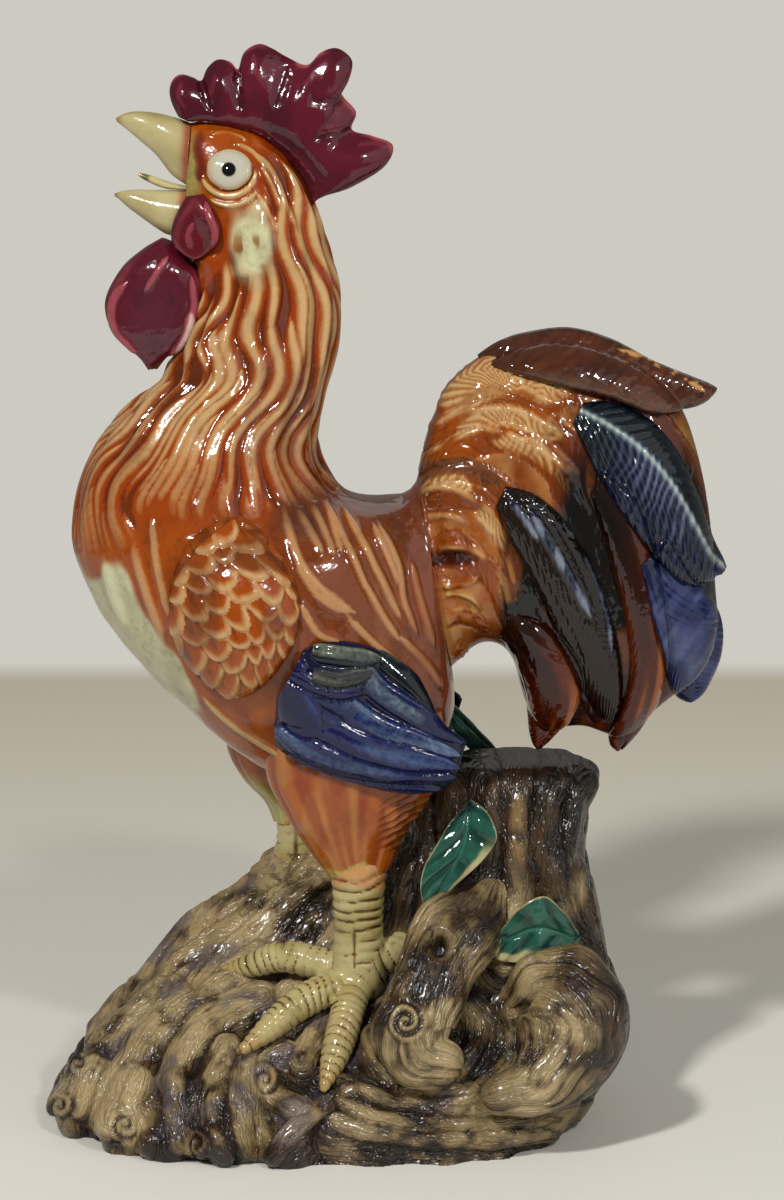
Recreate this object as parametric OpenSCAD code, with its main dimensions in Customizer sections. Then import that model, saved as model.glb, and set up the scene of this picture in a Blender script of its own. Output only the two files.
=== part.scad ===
/* [Figure] */
// Height from the foot rim to the top of the comb
figure_h = 320; // [280:5:380]
// Length from the front of the base to the end of the tail
figure_l = 204; // [180:2:230]

/* [Body] */
// Width of the body across the flanks
body_w = 82; // [70:1:92]
// Wall of the hollow castings
wall = 5; // [4:0.5:7]
// Radius of the vent between body and stump
vent_r = 5; // [4:0.5:6]
// Slip line between a luted piece and its seat
seat_gap = 0.3; // [0.2:0.05:0.5]

/* [Head] */
// Thickness of the comb at its foot
comb_t = 12; // [9:0.5:15]
// Width of the beak where it meets the face
beak_w = 13; // [10:0.5:15]
// Width of the tongue
tongue_w = 5; // [3.5:0.5:6]
// How far an eye stands out
eye_t = 2.2; // [1.5:0.1:3]
// Thickness of a cheek lobe
lobe_t = 3.5; // [2.5:0.5:5]
// Thickness of a wattle
wattle_t = 7; // [5:0.5:9]

/* [Wings] */
// How far the scaled shoulder stands out
covert_t = 5.5; // [4:0.5:8]
// How far the flight feathers stand out
flight_t = 5; // [4:0.5:7]
// Thickness of a relief feather or leaf along its edge
edge_t = 1.2; // [0.8:0.1:2]

/* [Legs] */
// Width of a thigh where it leaves the belly
thigh_w = 29; // [25:1:32]
// Thickness of a shank
shank_w = 16.5; // [13:0.5:18]
// Thickness of a toe at its root
toe_w = 10; // [8:0.5:12]
// Distance of each leg from the middle
leg_out = 17; // [15:0.5:20]

/* [Tail] */
// Width of the tail fan
tail_w = 40; // [34:1:46]
// How far a tail feather stands out
feather_t = 4; // [3:0.5:6]

/* [Base] */
// Depth of the root base from front to back
base_w = 120; // [108:2:134]
// Thickness of the luted roots
root_w = 26; // [22:1:30]
// Thickness of an applied leaf
leaf_t = 3; // [2.5:0.5:4]

/* [Hidden] */

// The side view is read in picture steps, from an eye in front of the left flank
centre_px = 382;
foot_px = 1112;
span_px = 692;
rise_px = 1069;
step_l = figure_l / span_px;
step_h = figure_h / rise_px;
eye_reach = 3.75 * figure_h;
eye_h = 1.15 * figure_h;
overrun = wall;

// Back and underside places of the body's rings, from the face to the tail seat
body_px = [
    [194, 118, 187, 228], [210, 118, 195, 238], [232, 120, 202, 250], [258, 128, 206, 265],
    [285, 146, 206, 285], [305, 172, 203, 303], [320, 205, 197, 322], [333, 245, 185, 345],
    [341, 290, 165, 367], [339, 335, 138, 386], [326, 380, 112, 410], [319, 416, 90, 445],
    [325, 450, 75, 490], [341, 474, 74, 535], [360, 484, 89, 578], [378, 486, 116, 622],
    [392, 485, 150, 662], [400, 484, 186, 696], [404, 483, 222, 730], [407, 481, 264, 757],
    [410, 479, 312, 776], [412, 477, 362, 786], [414, 474, 408, 780], [416, 471, 440, 745],
    [417, 468, 454, 700], [418, 464, 452, 655]];
body_w_shares = [0.15, 0.2, 0.24, 0.27, 0.3, 0.33, 0.36, 0.41, 0.47, 0.54, 0.61, 0.7, 0.78, 0.86,
    0.93, 0.98, 1, 0.99, 0.96, 0.91, 0.84, 0.75, 0.66, 0.58, 0.52, 0.48];
// Grooves between the neck feathers: their depth on each ring from the head down, as shares of the wall
hackle_shares = [0, 0, 0, 0, 0.12, 0.24, 0.3, 0.32, 0.32, 0.32, 0.32, 0.28, 0.2, 0.08];
// Upper and lower edge of the tail fan's rings, from the seat to the tip
tail_px = [
    [418, 464, 452, 655], [424, 436, 478, 632], [440, 394, 500, 632], [472, 358, 515, 650],
    [512, 338, 527, 690], [555, 330, 545, 715], [600, 338, 585, 715], [645, 360, 622, 725],
    [680, 395, 650, 705], [700, 450, 675, 685], [712, 520, 695, 670], [718, 580, 706, 655],
    [720, 605, 714, 640]];
tail_w_shares = [0, 1, 1, 0.98, 0.95, 0.92, 0.87, 0.8, 0.7, 0.58, 0.45, 0.3, 0.14];
// Edge and foot places of the comb's rings, from the front lobe to the rear lobe
comb_px = [
    [182, 111, 190, 115], [176, 98, 197, 116], [174, 86, 202, 117], [178, 76, 206, 117],
    [186, 72, 211, 118], [197, 75, 216, 118], [205, 78, 221, 119], [211, 66, 227, 120],
    [221, 58, 233, 121], [233, 60, 239, 123], [241, 67, 245, 124], [247, 51, 251, 126],
    [261, 43, 257, 128], [274, 47, 264, 131], [288, 55, 270, 135], [308, 63, 277, 140],
    [322, 51, 283, 145], [338, 47, 288, 149], [352, 58, 292, 154], [350, 75, 296, 158],
    [342, 90, 298, 161], [356, 108, 301, 165], [352, 125, 303, 168], [372, 131, 306, 173],
    [392, 140, 308, 177], [384, 160, 310, 182], [352, 180, 312, 187], [330, 187, 314, 191],
    [318, 191, 316, 195]];
// Upper and lower edge of the two halves of the beak, from the face to the tip
beak_upper_px = [[194, 118, 190, 178], [179, 113, 176, 168], [162, 109, 162, 151], [145, 107, 145, 135],
    [131, 108, 131, 124], [120, 113, 121, 117]];
beak_lower_px = [[189, 184, 186, 227], [175, 184, 169, 226], [158, 184, 150, 214], [140, 183, 134, 202],
    [127, 184, 124, 193], [118, 186, 118, 189]];
beak_w_shares = [1, 0.86, 0.66, 0.45, 0.26, 0.08];
tongue_px = [[189, 179, 189, 183], [172, 175, 170, 182], [155, 169, 153, 176], [142, 166, 141, 169]];
tongue_w_shares = [1, 0.9, 0.6, 0.2];

// Blades lie on a surface: two edges of each row, and the row's share of the thickness
eye_px = [[209, 158, 209, 168, 0.3], [213, 151, 213, 175, 0.8], [222, 146, 222, 181, 1],
    [231, 144, 231, 183, 1], [241, 146, 241, 181, 1], [250, 152, 250, 174, 0.8], [254, 159, 254, 167, 0.3]];
lobe_px = [[188, 190, 206, 187, 0.4], [178, 207, 217, 203, 0.9], [173, 224, 223, 220, 1],
    [175, 238, 220, 236, 1], [184, 247, 210, 246, 0.7], [194, 252, 200, 251, 0.3]];
wattle_px = [[162, 233, 178, 240, 0.3], [143, 244, 190, 256, 0.7], [122, 262, 200, 272, 1],
    [107, 288, 202, 290, 1], [106, 308, 199, 308, 1], [114, 328, 193, 326, 0.9],
    [130, 347, 180, 342, 0.7], [142, 361, 166, 355, 0.5], [149, 370, 154, 369, 0.2]];
covert_px = [[222, 507, 244, 507, 0.3], [194, 525, 272, 530, 0.8], [175, 555, 292, 560, 1],
    [167, 590, 300, 592, 1], [168, 625, 296, 625, 1], [182, 655, 280, 655, 0.9],
    [205, 680, 258, 680, 0.6], [225, 691, 238, 691, 0.2]];
flight_px = [[304, 636, 276, 690, 0.5], [330, 628, 273, 733, 0.8], [362, 634, 290, 751, 1],
    [393, 648, 335, 770, 1], [418, 668, 390, 785, 1], [441, 712, 428, 786, 0.9],
    [458, 728, 452, 777, 0.7], [468, 736, 465, 745, 0.3]];
top_sickle_px = [[478, 348, 482, 358, 0.3], [500, 334, 500, 360, 0.7], [530, 325, 532, 368, 1],
    [570, 321, 570, 378, 1], [612, 332, 610, 388, 1], [655, 354, 650, 403, 1],
    [690, 368, 686, 402, 0.8], [710, 376, 706, 396, 0.6], [719, 381, 716, 387, 0.3]];
upper_sickle_px = [[583, 390, 572, 410, 0.3], [612, 390, 590, 448, 0.8], [650, 408, 616, 490, 1],
    [678, 440, 645, 528, 1], [700, 484, 668, 556, 1], [717, 530, 692, 570, 0.9],
    [727, 550, 712, 571, 0.6], [731, 560, 726, 568, 0.3]];
lower_sickle_px = [[668, 522, 640, 548, 0.3], [690, 560, 652, 600, 0.8], [712, 584, 664, 640, 1],
    [727, 615, 671, 670, 1], [727, 650, 680, 690, 0.8], [714, 682, 690, 697, 0.6],
    [703, 694, 697, 698, 0.3]];
mid_sickle_px = [[505, 470, 495, 490, 0.3], [535, 478, 507, 520, 0.8], [565, 505, 530, 560, 1],
    [590, 545, 552, 610, 1], [610, 595, 572, 650, 1], [622, 640, 590, 690, 0.9],
    [625, 680, 605, 712, 0.6], [620, 708, 613, 715, 0.3]];
rear_tip_px = [[600, 455, 590, 480, 0.3], [632, 480, 605, 530, 0.8], [652, 530, 622, 590, 1],
    [665, 590, 632, 650, 1], [670, 640, 626, 690, 1], [664, 690, 614, 722, 0.9],
    [648, 722, 614, 740, 0.6], [630, 744, 621, 748, 0.3]];
front_tip_px = [[510, 598, 500, 625, 0.3], [545, 608, 515, 650, 0.8], [575, 640, 527, 680, 1],
    [585, 676, 530, 708, 1], [574, 712, 532, 728, 0.8], [556, 734, 536, 741, 0.5],
    [545, 744, 540, 746, 0.3]];

// Front, rear and width of the thigh's rings, from the belly to the ankle
thigh_px = [[270, 700, 440, 700], [264, 760, 446, 752], [282, 802, 428, 792], [308, 840, 404, 828],
    [328, 868, 388, 862]];
thigh_w_shares = [1, 1, 0.86, 0.64, 0.48];
far_thigh_px = [[232, 690, 400, 700], [226, 735, 400, 745], [240, 765, 375, 775],
    [262, 790, 345, 790], [272, 812, 330, 808]];
// Each leg: its ankle and foot, then its toe tips with their distance out as a share of the base's depth
near_leg_px = [[358, 858], [358, 972]];
near_toes_px = [[217, 968, 0.03], [236, 1052, 0.33], [322, 1090, 0.41], [424, 918, 0.06]];
near_knuckles_px = [[282, 952, 0.1], [292, 1005, 0.24], [340, 1035, 0.29], [396, 946, 0.12]];
far_leg_px = [[301, 800], [299, 850]];
far_toes_px = [[244, 878, -0.1], [246, 868, -0.26], [278, 852, -0.38], [348, 844, -0.17]];
far_knuckles_px = [[272, 858, -0.11], [272, 854, -0.2], [288, 846, -0.26], [322, 848, -0.15]];

// Plan of the base at rising levels: places along the figure, and shares of half the depth
base_rise_shares = [0, 0.03, 0.065, 0.1, 0.138, 0.172, 0.203, 0.226, 0.24, 0.252, 0.29, 0.325, 0.34];
base_plan = [
    [[46, 0.1], [74, -0.4], [150, -0.78], [260, -0.93], [375, -0.96], [480, -0.9], [550, -0.64],
     [580, -0.1], [565, 0.5], [470, 0.9], [300, 1], [120, 0.7]],
    [[42, 0.1], [76, -0.4], [150, -0.76], [260, -0.9], [375, -0.93], [490, -0.88], [568, -0.6],
     [598, -0.1], [578, 0.5], [475, 0.88], [300, 0.97], [120, 0.68]],
    [[64, 0.1], [98, -0.35], [165, -0.65], [265, -0.76], [370, -0.84], [500, -0.82], [592, -0.52],
     [622, -0.08], [600, 0.5], [480, 0.85], [300, 0.93], [135, 0.65]],
    [[100, 0.12], [134, -0.25], [190, -0.45], [275, -0.5], [365, -0.62], [500, -0.7], [602, -0.45],
     [633, -0.05], [608, 0.48], [480, 0.8], [300, 0.88], [160, 0.62]],
    [[144, 0.2], [180, -0.03], [225, -0.12], [290, -0.17], [362, -0.25], [480, -0.58], [590, -0.42],
     [620, -0.03], [600, 0.45], [475, 0.75], [310, 0.83], [200, 0.62]],
    [[172, 0.3], [210, 0.14], [250, 0.06], [300, 0], [372, -0.12], [465, -0.48], [578, -0.4],
     [606, -0.02], [590, 0.42], [470, 0.68], [320, 0.76], [220, 0.6]],
    [[232, 0.36], [255, 0.22], [285, 0.14], [325, 0.05], [385, -0.15], [465, -0.42], [572, -0.38],
     [600, -0.02], [584, 0.4], [465, 0.62], [335, 0.68], [262, 0.56]],
    [[256, 0.32], [270, 0.2], [293, 0.12], [332, 0.03], [390, -0.16], [465, -0.4], [568, -0.36],
     [594, -0.02], [580, 0.38], [465, 0.57], [340, 0.6], [274, 0.5]],
    [[284, 0.3], [294, 0.21], [312, 0.14], [345, 0.04], [392, -0.17], [465, -0.39], [566, -0.35],
     [592, -0.02], [578, 0.36], [465, 0.53], [358, 0.5], [302, 0.42]],
    [[392, 0.05], [396, -0.06], [404, -0.16], [418, -0.24], [440, -0.31], [480, -0.38], [562, -0.34],
     [588, -0.02], [576, 0.34], [500, 0.46], [440, 0.4], [402, 0.22]],
    [[408, 0.05], [411, -0.06], [418, -0.15], [432, -0.23], [458, -0.3], [505, -0.35], [575, -0.28],
     [603, 0], [588, 0.3], [520, 0.42], [460, 0.36], [422, 0.2]],
    [[418, 0.05], [421, -0.05], [428, -0.14], [444, -0.21], [468, -0.27], [510, -0.31], [576, -0.25],
     [605, 0.02], [588, 0.28], [524, 0.38], [462, 0.32], [428, 0.18]],
    [[436, 0.05], [439, -0.03], [446, -0.1], [460, -0.16], [482, -0.2], [514, -0.23], [562, -0.18],
     [584, 0.03], [570, 0.22], [518, 0.3], [472, 0.25], [444, 0.15]]];
// Hollows between the root ridges: how far every second place of a ring is drawn in
root_hollow_share = 0.045;
cavity_share = 0.87;
cavity_levels = 7;
// Root ends along the foot rim: place, then shares of half the depth for both ends
rim_roots_px = [[80, 1072, -0.1, 66, -0.02], [98, 1066, -0.36, 84, -0.38], [140, 1062, -0.56, 124, -0.64],
    [184, 1060, -0.66, 172, -0.78], [236, 1066, -0.74, 228, -0.84], [300, 1074, -0.8, 292, -0.88],
    [106, 1062, 0.42, 92, 0.46], [200, 1060, 0.74, 186, 0.82], [400, 1060, 0.82, 410, 0.88]];
rim_root_share = 0.055;
// Routes of the two luted roots: place, share of half the depth out, share of the thickness
knot_root_px = [[484, 888, 0.34, 0.55], [472, 906, 0.41, 0.8], [456, 932, 0.5, 1], [441, 960, 0.59, 0.95],
    [429, 988, 0.69, 0.9], [418, 1014, 0.77, 0.85], [408, 1036, 0.84, 0.8], [420, 1056, 0.86, 0.7],
    [440, 1064, 0.88, 0.55]];
knot_px = [441, 942];
knot_share = 0.16;
right_root_px = [[526, 996, 0.5, 0.6], [545, 984, 0.54, 0.85], [564, 990, 0.58, 1.15], [574, 1012, 0.63, 1.35],
    [572, 1036, 0.68, 1.3], [563, 1058, 0.75, 1.1], [550, 1078, 0.82, 0.9], [530, 1092, 0.86, 0.7],
    [505, 1098, 0.9, 0.5]];
// Leaves: two edges and distance out of each row, from the stalk to the tip
leaf_upper_px = [[472, 790, 468, 794, 0.34], [486, 800, 452, 812, 0.38], [496, 816, 440, 832, 0.42],
    [498, 832, 428, 852, 0.44], [486, 850, 422, 868, 0.45], [468, 868, 421, 884, 0.45],
    [450, 884, 424, 896, 0.44], [438, 896, 428, 902, 0.42], [433, 902, 430, 905, 0.41]];
leaf_lower_px = [[584, 932, 583, 928, 0.4], [572, 946, 574, 914, 0.45], [558, 952, 562, 900, 0.5],
    [542, 955, 550, 890, 0.53], [526, 957, 536, 892, 0.54], [512, 957, 520, 904, 0.54],
    [502, 955, 508, 918, 0.53], [497, 952, 498, 932, 0.52], [493, 946, 493, 940, 0.5]];
leaf_rear_px = [[512, 756, 508, 760, -0.22], [502, 744, 494, 756, -0.3], [492, 732, 482, 748, -0.35],
    [482, 722, 471, 740, -0.37], [474, 713, 462, 731, -0.37], [466, 705, 455, 722, -0.36],
    [459, 698, 450, 713, -0.35], [453, 692, 447, 704, -0.34], [448, 689, 446, 694, -0.33]];

glaze_cobalt = [0.14, 0.18, 0.42];
glaze_amber = [0.72, 0.42, 0.18];
glaze_burgundy = [0.4, 0.08, 0.14];
glaze_cream = [0.78, 0.71, 0.5];
glaze_bark = [0.5, 0.42, 0.32];
glaze_leaf = [0.2, 0.5, 0.4];
glaze_brown = [0.36, 0.2, 0.14];

function mix(a, b, t) = a + (b - a) * t;
function total(v) = [for (x = v) 1] * v;
function middle(points) = total(points) / len(points);
function cross2(a, b) = a[0] * b[1] - a[1] * b[0];

// A smooth curve through the rows of a table, and the table read at even steps
function curve(rows, t) =
    let (last = len(rows) - 1, i = min(floor(t), last - 1), f = t - i,
         a = rows[max(i - 1, 0)], b = rows[i], c = rows[i + 1], d = rows[min(i + 2, last)])
    b + f * (c - a) / 2 + f * f * (a - 5 * b / 2 + 2 * c - d / 2) + f * f * f * (3 * b - a - 3 * c + d) / 2;
function resample(rows, count) =
    [for (k = [0:count - 1]) curve(rows, k * (len(rows) - 1) / (count - 1))];

// A place of the side view, out from the middle towards the eye
function place(p, out = 0) =
    let (k = 1 - out / eye_reach)
    [(p[0] - centre_px) * step_l * k, -out, eye_h + ((foot_px - p[1]) * step_h - eye_h) * k];
function flat(p, out = 0) = let (q = place(p, out)) [q[0], q[2]];

// Rings of a form that is an ellipse between two edges of the side view: [edge, edge, half width]
function bands(table, shares, width, count) =
    let (rows = [for (i = [0:len(table) - 1]) concat(table[i], [shares[i]])])
    [for (r = resample(rows, count)) [flat([r[0], r[1]]), flat([r[2], r[3]]), r[4] * width / 2]];
function ring(band, sides, inset = 0, out = 0) =
    let (c = (band[0] + band[1]) / 2, h = (band[0] - band[1]) / 2, share = 1 - inset / norm(h))
    [for (j = [0:sides - 1]) let (a = 360 * j / sides, p = c + h * share * cos(a))
        [p[0], -out - (band[2] - inset) * sin(a), p[1]]];

// Where a place of the side view lies on a form: [ring, fraction, share across]
function side_of(band, p) = cross2(band[1] - band[0], p - band[0]) / norm(band[1] - band[0]);
function hits(form, p) =
    [for (i = [0:len(form) - 2])
        let (a = side_of(form[i], p), b = side_of(form[i + 1], p))
        if (a * b <= 0 && a != b)
            let (f = a / (a - b), e = mix(form[i][0], form[i + 1][0], f), g = mix(form[i][1], form[i + 1][1], f),
                 q = (p - (e + g) / 2) * (e - g) * 2 / ((e - g) * (e - g)))
            if (abs(q) <= 1) [i, f, q]];
function depth(form, p) =
    let (h = hits(form, p))
    len(h) == 0 ? 0 : mix(form[h[0][0]][2], form[h[0][0] + 1][2], h[0][1]) * sqrt(1 - h[0][2] * h[0][2]);

// A closed solid from points and triangles, whichever way the triangles turn
module solid(points, faces) {
    size = total([for (f = faces) points[f[0]] * cross(points[f[1]], points[f[2]])]);
    polyhedron(points = points, faces = size > 0 ? [for (f = faces) [f[0], f[2], f[1]]] : faces);
}

function strip(n, from, rows) =
    [for (i = [0:rows - 2], j = [0:n - 1])
        let (a = from + i * n + j, b = from + i * n + (j + 1) % n)
        each [[a, b + n, b], [a, a + n, b + n]]];
function fan(n, from, tip, turn) =
    [for (j = [0:n - 1]) turn ? [tip, from + (j + 1) % n, from + j] : [tip, from + j, from + (j + 1) % n]];

// A solid through rings, closed at both ends
module skin(rings) {
    n = len(rings[0]);
    m = len(rings);
    solid(
        [for (r = rings) each r, middle(rings[0]), middle(rings[m - 1])],
        concat(strip(n, 0, m), fan(n, 0, m * n, false), fan(n, (m - 1) * n, m * n + 1, true)));
}

// A hollow cup: outer rings from the rim to the far end, inner rings from the rim to their own end
module cup(outer, inner) {
    n = len(outer[0]);
    m = len(outer);
    k = len(inner);
    inside = strip(n, m * n, k);
    solid(
        [for (r = outer) each r, for (r = inner) each r, middle(outer[m - 1]), middle(inner[k - 1])],
        concat(
            strip(n, 0, m),
            [for (f = inside) [f[0], f[2], f[1]]],
            fan(n, (m - 1) * n, (m + k) * n, true),
            fan(n, (m + k - 1) * n, (m + k) * n + 1, false),
            [for (j = [0:n - 1]) let (q = (j + 1) % n) each [[j, q, m * n + q], [j, m * n + q, m * n + j]]]));
}

body = bands(body_px, body_w_shares, body_w, 26);
function body_ring(i) =
    let (groove = i < len(hackle_shares) ? hackle_shares[i] * wall : 0,
         high = ring(body[i], body_sides), low = ring(body[i], body_sides, groove))
    [for (j = [0:body_sides - 1]) j % 2 == 0 ? high[j] : low[j]];
tail_seat = body[len(body) - 1];
tail = bands(tail_px, tail_w_shares, tail_w, 17);
body_sides = 28;
tail_form = [for (i = [0:len(tail) - 1])
    let (join = max(0, 1 - i / 3)) [tail[i][0], tail[i][1], mix(tail[i][2], tail_seat[2], join)]];

module body_form(from = 0, to = len(body) - 1)
    skin([for (i = [to:-1:from]) body_ring(i)]);

// A relief piece that lies on a form, over the pieces below it
function blade_rows(table, out, thick, count) =
    [for (r = resample(table, count)) [flat([r[0], r[1]], out), flat([r[2], r[3]], out), r[4] * thick]];
function cover(blades, p) = total([0, for (b = blades)
    let (d = max([for (v = [[0, 0], [lap, 0], [-lap, 0], [0, lap], [0, -lap]]) depth(b, p + v)]))
    d > 0 ? d + edge_t + 3 * seat_gap : 0]);
module blade(rows, form, least = 0, below = [], across = 6) {
    rings = [for (r = rows)
        let (c = (r[0] + r[1]) / 2, h = (r[0] - r[1]) / 2)
        concat(
            [for (j = [0:across]) let (a = 180 * j / across, p = c + h * cos(a), y = seat(form, p, least, below))
                [p[0], -y - edge_t - r[2] * sin(a), p[1]]],
            [for (j = [across:-1:0]) let (a = 180 * j / across, p = c + h * cos(a), y = seat(form, p, least, below))
                [p[0], -y, p[1]]])];
    skin(rings);
}
function seat(form, p, least, below) = max(least, depth(form, p)) + cover(below, p) + seat_gap;

module left_right(right) mirror([0, right ? 1 : 0, 0]) children();

lap = 3 * edge_t;
wing_out = 0.45 * body_w;
tail_out = 0.25 * tail_w;
face_out = 0.13 * body_w;
coverts = blade_rows(covert_px, wing_out, covert_t, 11);
flights = blade_rows(flight_px, wing_out, flight_t, 12);
front_tip = blade_rows(front_tip_px, tail_out, feather_t, 12);
rear_tip = blade_rows(rear_tip_px, tail_out, feather_t, 12);
mid_sickle = blade_rows(mid_sickle_px, tail_out, feather_t, 12);
lower_sickle = blade_rows(lower_sickle_px, tail_out, feather_t, 10);
upper_sickle = blade_rows(upper_sickle_px, tail_out, feather_t, 12);
top_sickle = blade_rows(top_sickle_px, tail_out, feather_t, 12);

module body_shell() {
    top = len(body) - 1;
    color(glaze_amber) difference() {
        cup([for (i = [top:-1:0]) body_ring(i)],
            [for (i = [top:-1:2]) ring(body[i], body_sides, wall)]);
        translate([vent_x, 0, vent_z]) cylinder(r = vent_r, h = 4 * wall, $fn = 40);
    }
}
vent_x = (456 - centre_px) * step_l;
vent_z = (foot_px - 760) * step_h;

module comb() {
    rows = bands(comb_px, [for (r = comb_px) 1], comb_t, 34);
    head_r = body[3][2];
    color(glaze_burgundy) skin([for (r = rows)
        let (c = (r[0] + r[1]) / 2, h = (r[0] - r[1]) / 2, down = -h / norm(h))
        [for (j = [0:11])
            let (a = 30 * j, y = r[2] * sin(a) * (0.72 - 0.28 * cos(a)), low = max(0, -cos(a)),
                 p = c + h * cos(a) + down * (low * (head_r - sqrt(head_r * head_r - y * y)) - seat_gap))
            [p[0], -y, p[1]]]]);
}

module beak_half(table)
    skin([for (b = bands(table, beak_w_shares, beak_w, 8)) ring(b, 14)]);
module beak_upper() color(glaze_cream) beak_half(beak_upper_px);
module beak_lower() color(glaze_cream) beak_half(beak_lower_px);
module tongue() color(glaze_burgundy) skin([for (b = bands(tongue_px, tongue_w_shares, tongue_w, 5)) ring(b, 8)]);

module eye(right) color("white") left_right(right)
    blade(blade_rows(eye_px, face_out, eye_t, 9), body);
module cheek_lobe(right) color(glaze_burgundy) left_right(right)
    blade(blade_rows(lobe_px, face_out, lobe_t, 9), body, least = beak_w / 2 + seat_gap);
module wattle(right) color(glaze_burgundy) left_right(right)
    blade(blade_rows(wattle_px, face_out, wattle_t, 13), body, least = 0.1 * beak_w);
module wing_coverts(right) color(glaze_amber) left_right(right)
    blade(coverts, body, across = 10);
module wing_flights(right) color(glaze_cobalt) left_right(right)
    blade(flights, body, least = leg_out + thigh_w / 2 + seat_gap, below = [coverts], across = 10);

module thigh_form(far) {
    table = far ? far_thigh_px : thigh_px;
    side = far ? -leg_out : leg_out;
    rows = resample([for (i = [0:len(table) - 1]) concat(table[i], [thigh_w_shares[i]])], 10);
    skin([for (r = rows)
        ring([flat([r[0], r[1]], side), flat([r[2], r[3]], side), r[4] * thigh_w / 2], 20, 0, side)]);
}
module thigh(far) color(glaze_amber) difference() {
    thigh_form(far);
    body_form(8);
}

module bead(p, size) translate(p) sphere(d = size, $fn = 10);
module link(a, b, wide, thin) hull() {
    bead(a, wide);
    bead(b, thin);
}
module leg(far) {
    side = far ? -leg_out : leg_out;
    ends = far ? far_leg_px : near_leg_px;
    tips = far ? far_toes_px : near_toes_px;
    knuckles = far ? far_knuckles_px : near_knuckles_px;
    ankle = place(ends[0], side);
    foot = place(ends[1], side);
    color(glaze_cream) difference() {
        union() {
            link(ankle, mix(ankle, foot, 0.5), shank_w, 0.88 * shank_w);
            link(mix(ankle, foot, 0.5), foot, 0.88 * shank_w, shank_w);
            for (i = [0:3]) {
                tip = place(tips[i], tips[i][2] * base_w);
                knuckle = place(knuckles[i], knuckles[i][2] * base_w);
                link(foot, knuckle, toe_w, 0.95 * toe_w);
                link(knuckle, tip, 0.95 * toe_w, 0.5 * toe_w);
            }
        }
        thigh_form(far);
        base_form();
        root_form(knot_root_px);
    }
}

module tail_core() {
    last = len(tail_form) - 1;
    color(glaze_amber) cup(
        [for (i = [0:last]) ring(tail_form[i], body_sides)],
        [for (i = [0:last - 5]) ring(tail_form[i], body_sides, wall)]);
}
module tail_feather(rows, tint, right, below = []) color(tint) difference() {
    left_right(right) blade(rows, tail_form, below = below);
    skin([for (b = tail_form) ring(b, body_sides)]);
}

// The base as a solid lump, before it is hollowed
base_sides = 36;
function plan_row(level) = [for (p = base_plan[level]) each [p[0], p[1], base_rise_shares[level]]];
function level_ring(numbers, share = 1, hollow = 0) =
    let (loop = [for (k = [0:11]) [numbers[3 * k], numbers[3 * k + 1], numbers[3 * k + 2]]],
         wrapped = concat([loop[11]], loop, [loop[0], loop[1]]),
         around = [for (k = [0:base_sides - 1]) curve(wrapped, 1 + 12 * k / base_sides)],
         c = middle(around))
    [for (k = [0:base_sides - 1])
        let (p = around[k], q = mix(c, p, share - k % 2 * hollow))
        [(q[0] - centre_px) * step_l, q[1] * base_w / 2, p[2] * figure_h]];
module base_form() {
    rows = resample([for (k = [0:len(base_plan) - 1]) plan_row(k)], 20);
    skin([for (r = rows) level_ring(r, hollow = root_hollow_share)]);
}
module base_cavity() {
    rows = resample([for (k = [0:cavity_levels - 1]) plan_row(k)], 10);
    rings = [for (r = rows) level_ring(r, cavity_share)];
    low = [for (p = rings[0]) [p[0], p[1], -overrun]];
    skin(concat([low], [for (k = [0:9]) [for (p = rings[k]) [p[0], p[1], p[2] - wall * k / 9]]]));
}
module root_base() color(glaze_bark) difference() {
    union() {
        base_form();
        for (r = rim_roots_px) {
            size = rim_root_share * figure_h;
            top = place([r[0], r[1]]);
            foot = place([r[3], foot_px]);
            hull() {
                translate([top[0], r[2] * base_w / 2, top[2]]) sphere(d = size, $fn = 10);
                translate([foot[0], r[4] * base_w / 2, size / 4]) sphere(d = size, $fn = 10);
            }
        }
    }
    base_cavity();
    under_floor();
    translate([vent_x, 0, 0]) cylinder(r = vent_r, h = figure_h, $fn = 32);
    body_form(12);
}

module root_form(route)
    for (i = [0:len(route) - 2]) {
        a = route[i];
        b = route[i + 1];
        link(place(a, a[2] * base_w / 2), place(b, b[2] * base_w / 2), a[3] * root_w, b[3] * root_w);
    }
module under_floor()
    translate([-figure_l, -base_w, -figure_h]) cube([2 * figure_l, 2 * base_w, figure_h]);
module knot_root() color(glaze_bark) difference() {
    root_form(knot_root_px);
    base_form();
    root_form(right_root_px);
    under_floor();
    translate(place(knot_px, base_w / 2)) rotate([-90, 0, 0])
        cylinder(d = knot_share * root_w, h = root_w / 2, $fn = 16);
}
module right_root() color(glaze_bark) difference() {
    root_form(right_root_px);
    base_form();
    under_floor();
}

module leaf(table) color(glaze_leaf) difference() {
    for (i = [0:len(table) - 2]) hull() {
        rib(table[i]);
        rib(table[i + 1]);
    }
    base_form();
    root_form(knot_root_px);
    root_form(right_root_px);
    thigh_form(false);
    body_form(12);
}
module rib(row) {
    out = row[4] * base_w / 2;
    hull() {
        bead(place([row[0], row[1]], out), leaf_t);
        bead(place([row[2], row[3]], out), leaf_t);
    }
}
module leaf_upper() leaf(leaf_upper_px);
module leaf_lower() leaf(leaf_lower_px);
module leaf_rear() leaf(leaf_rear_px);

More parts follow.
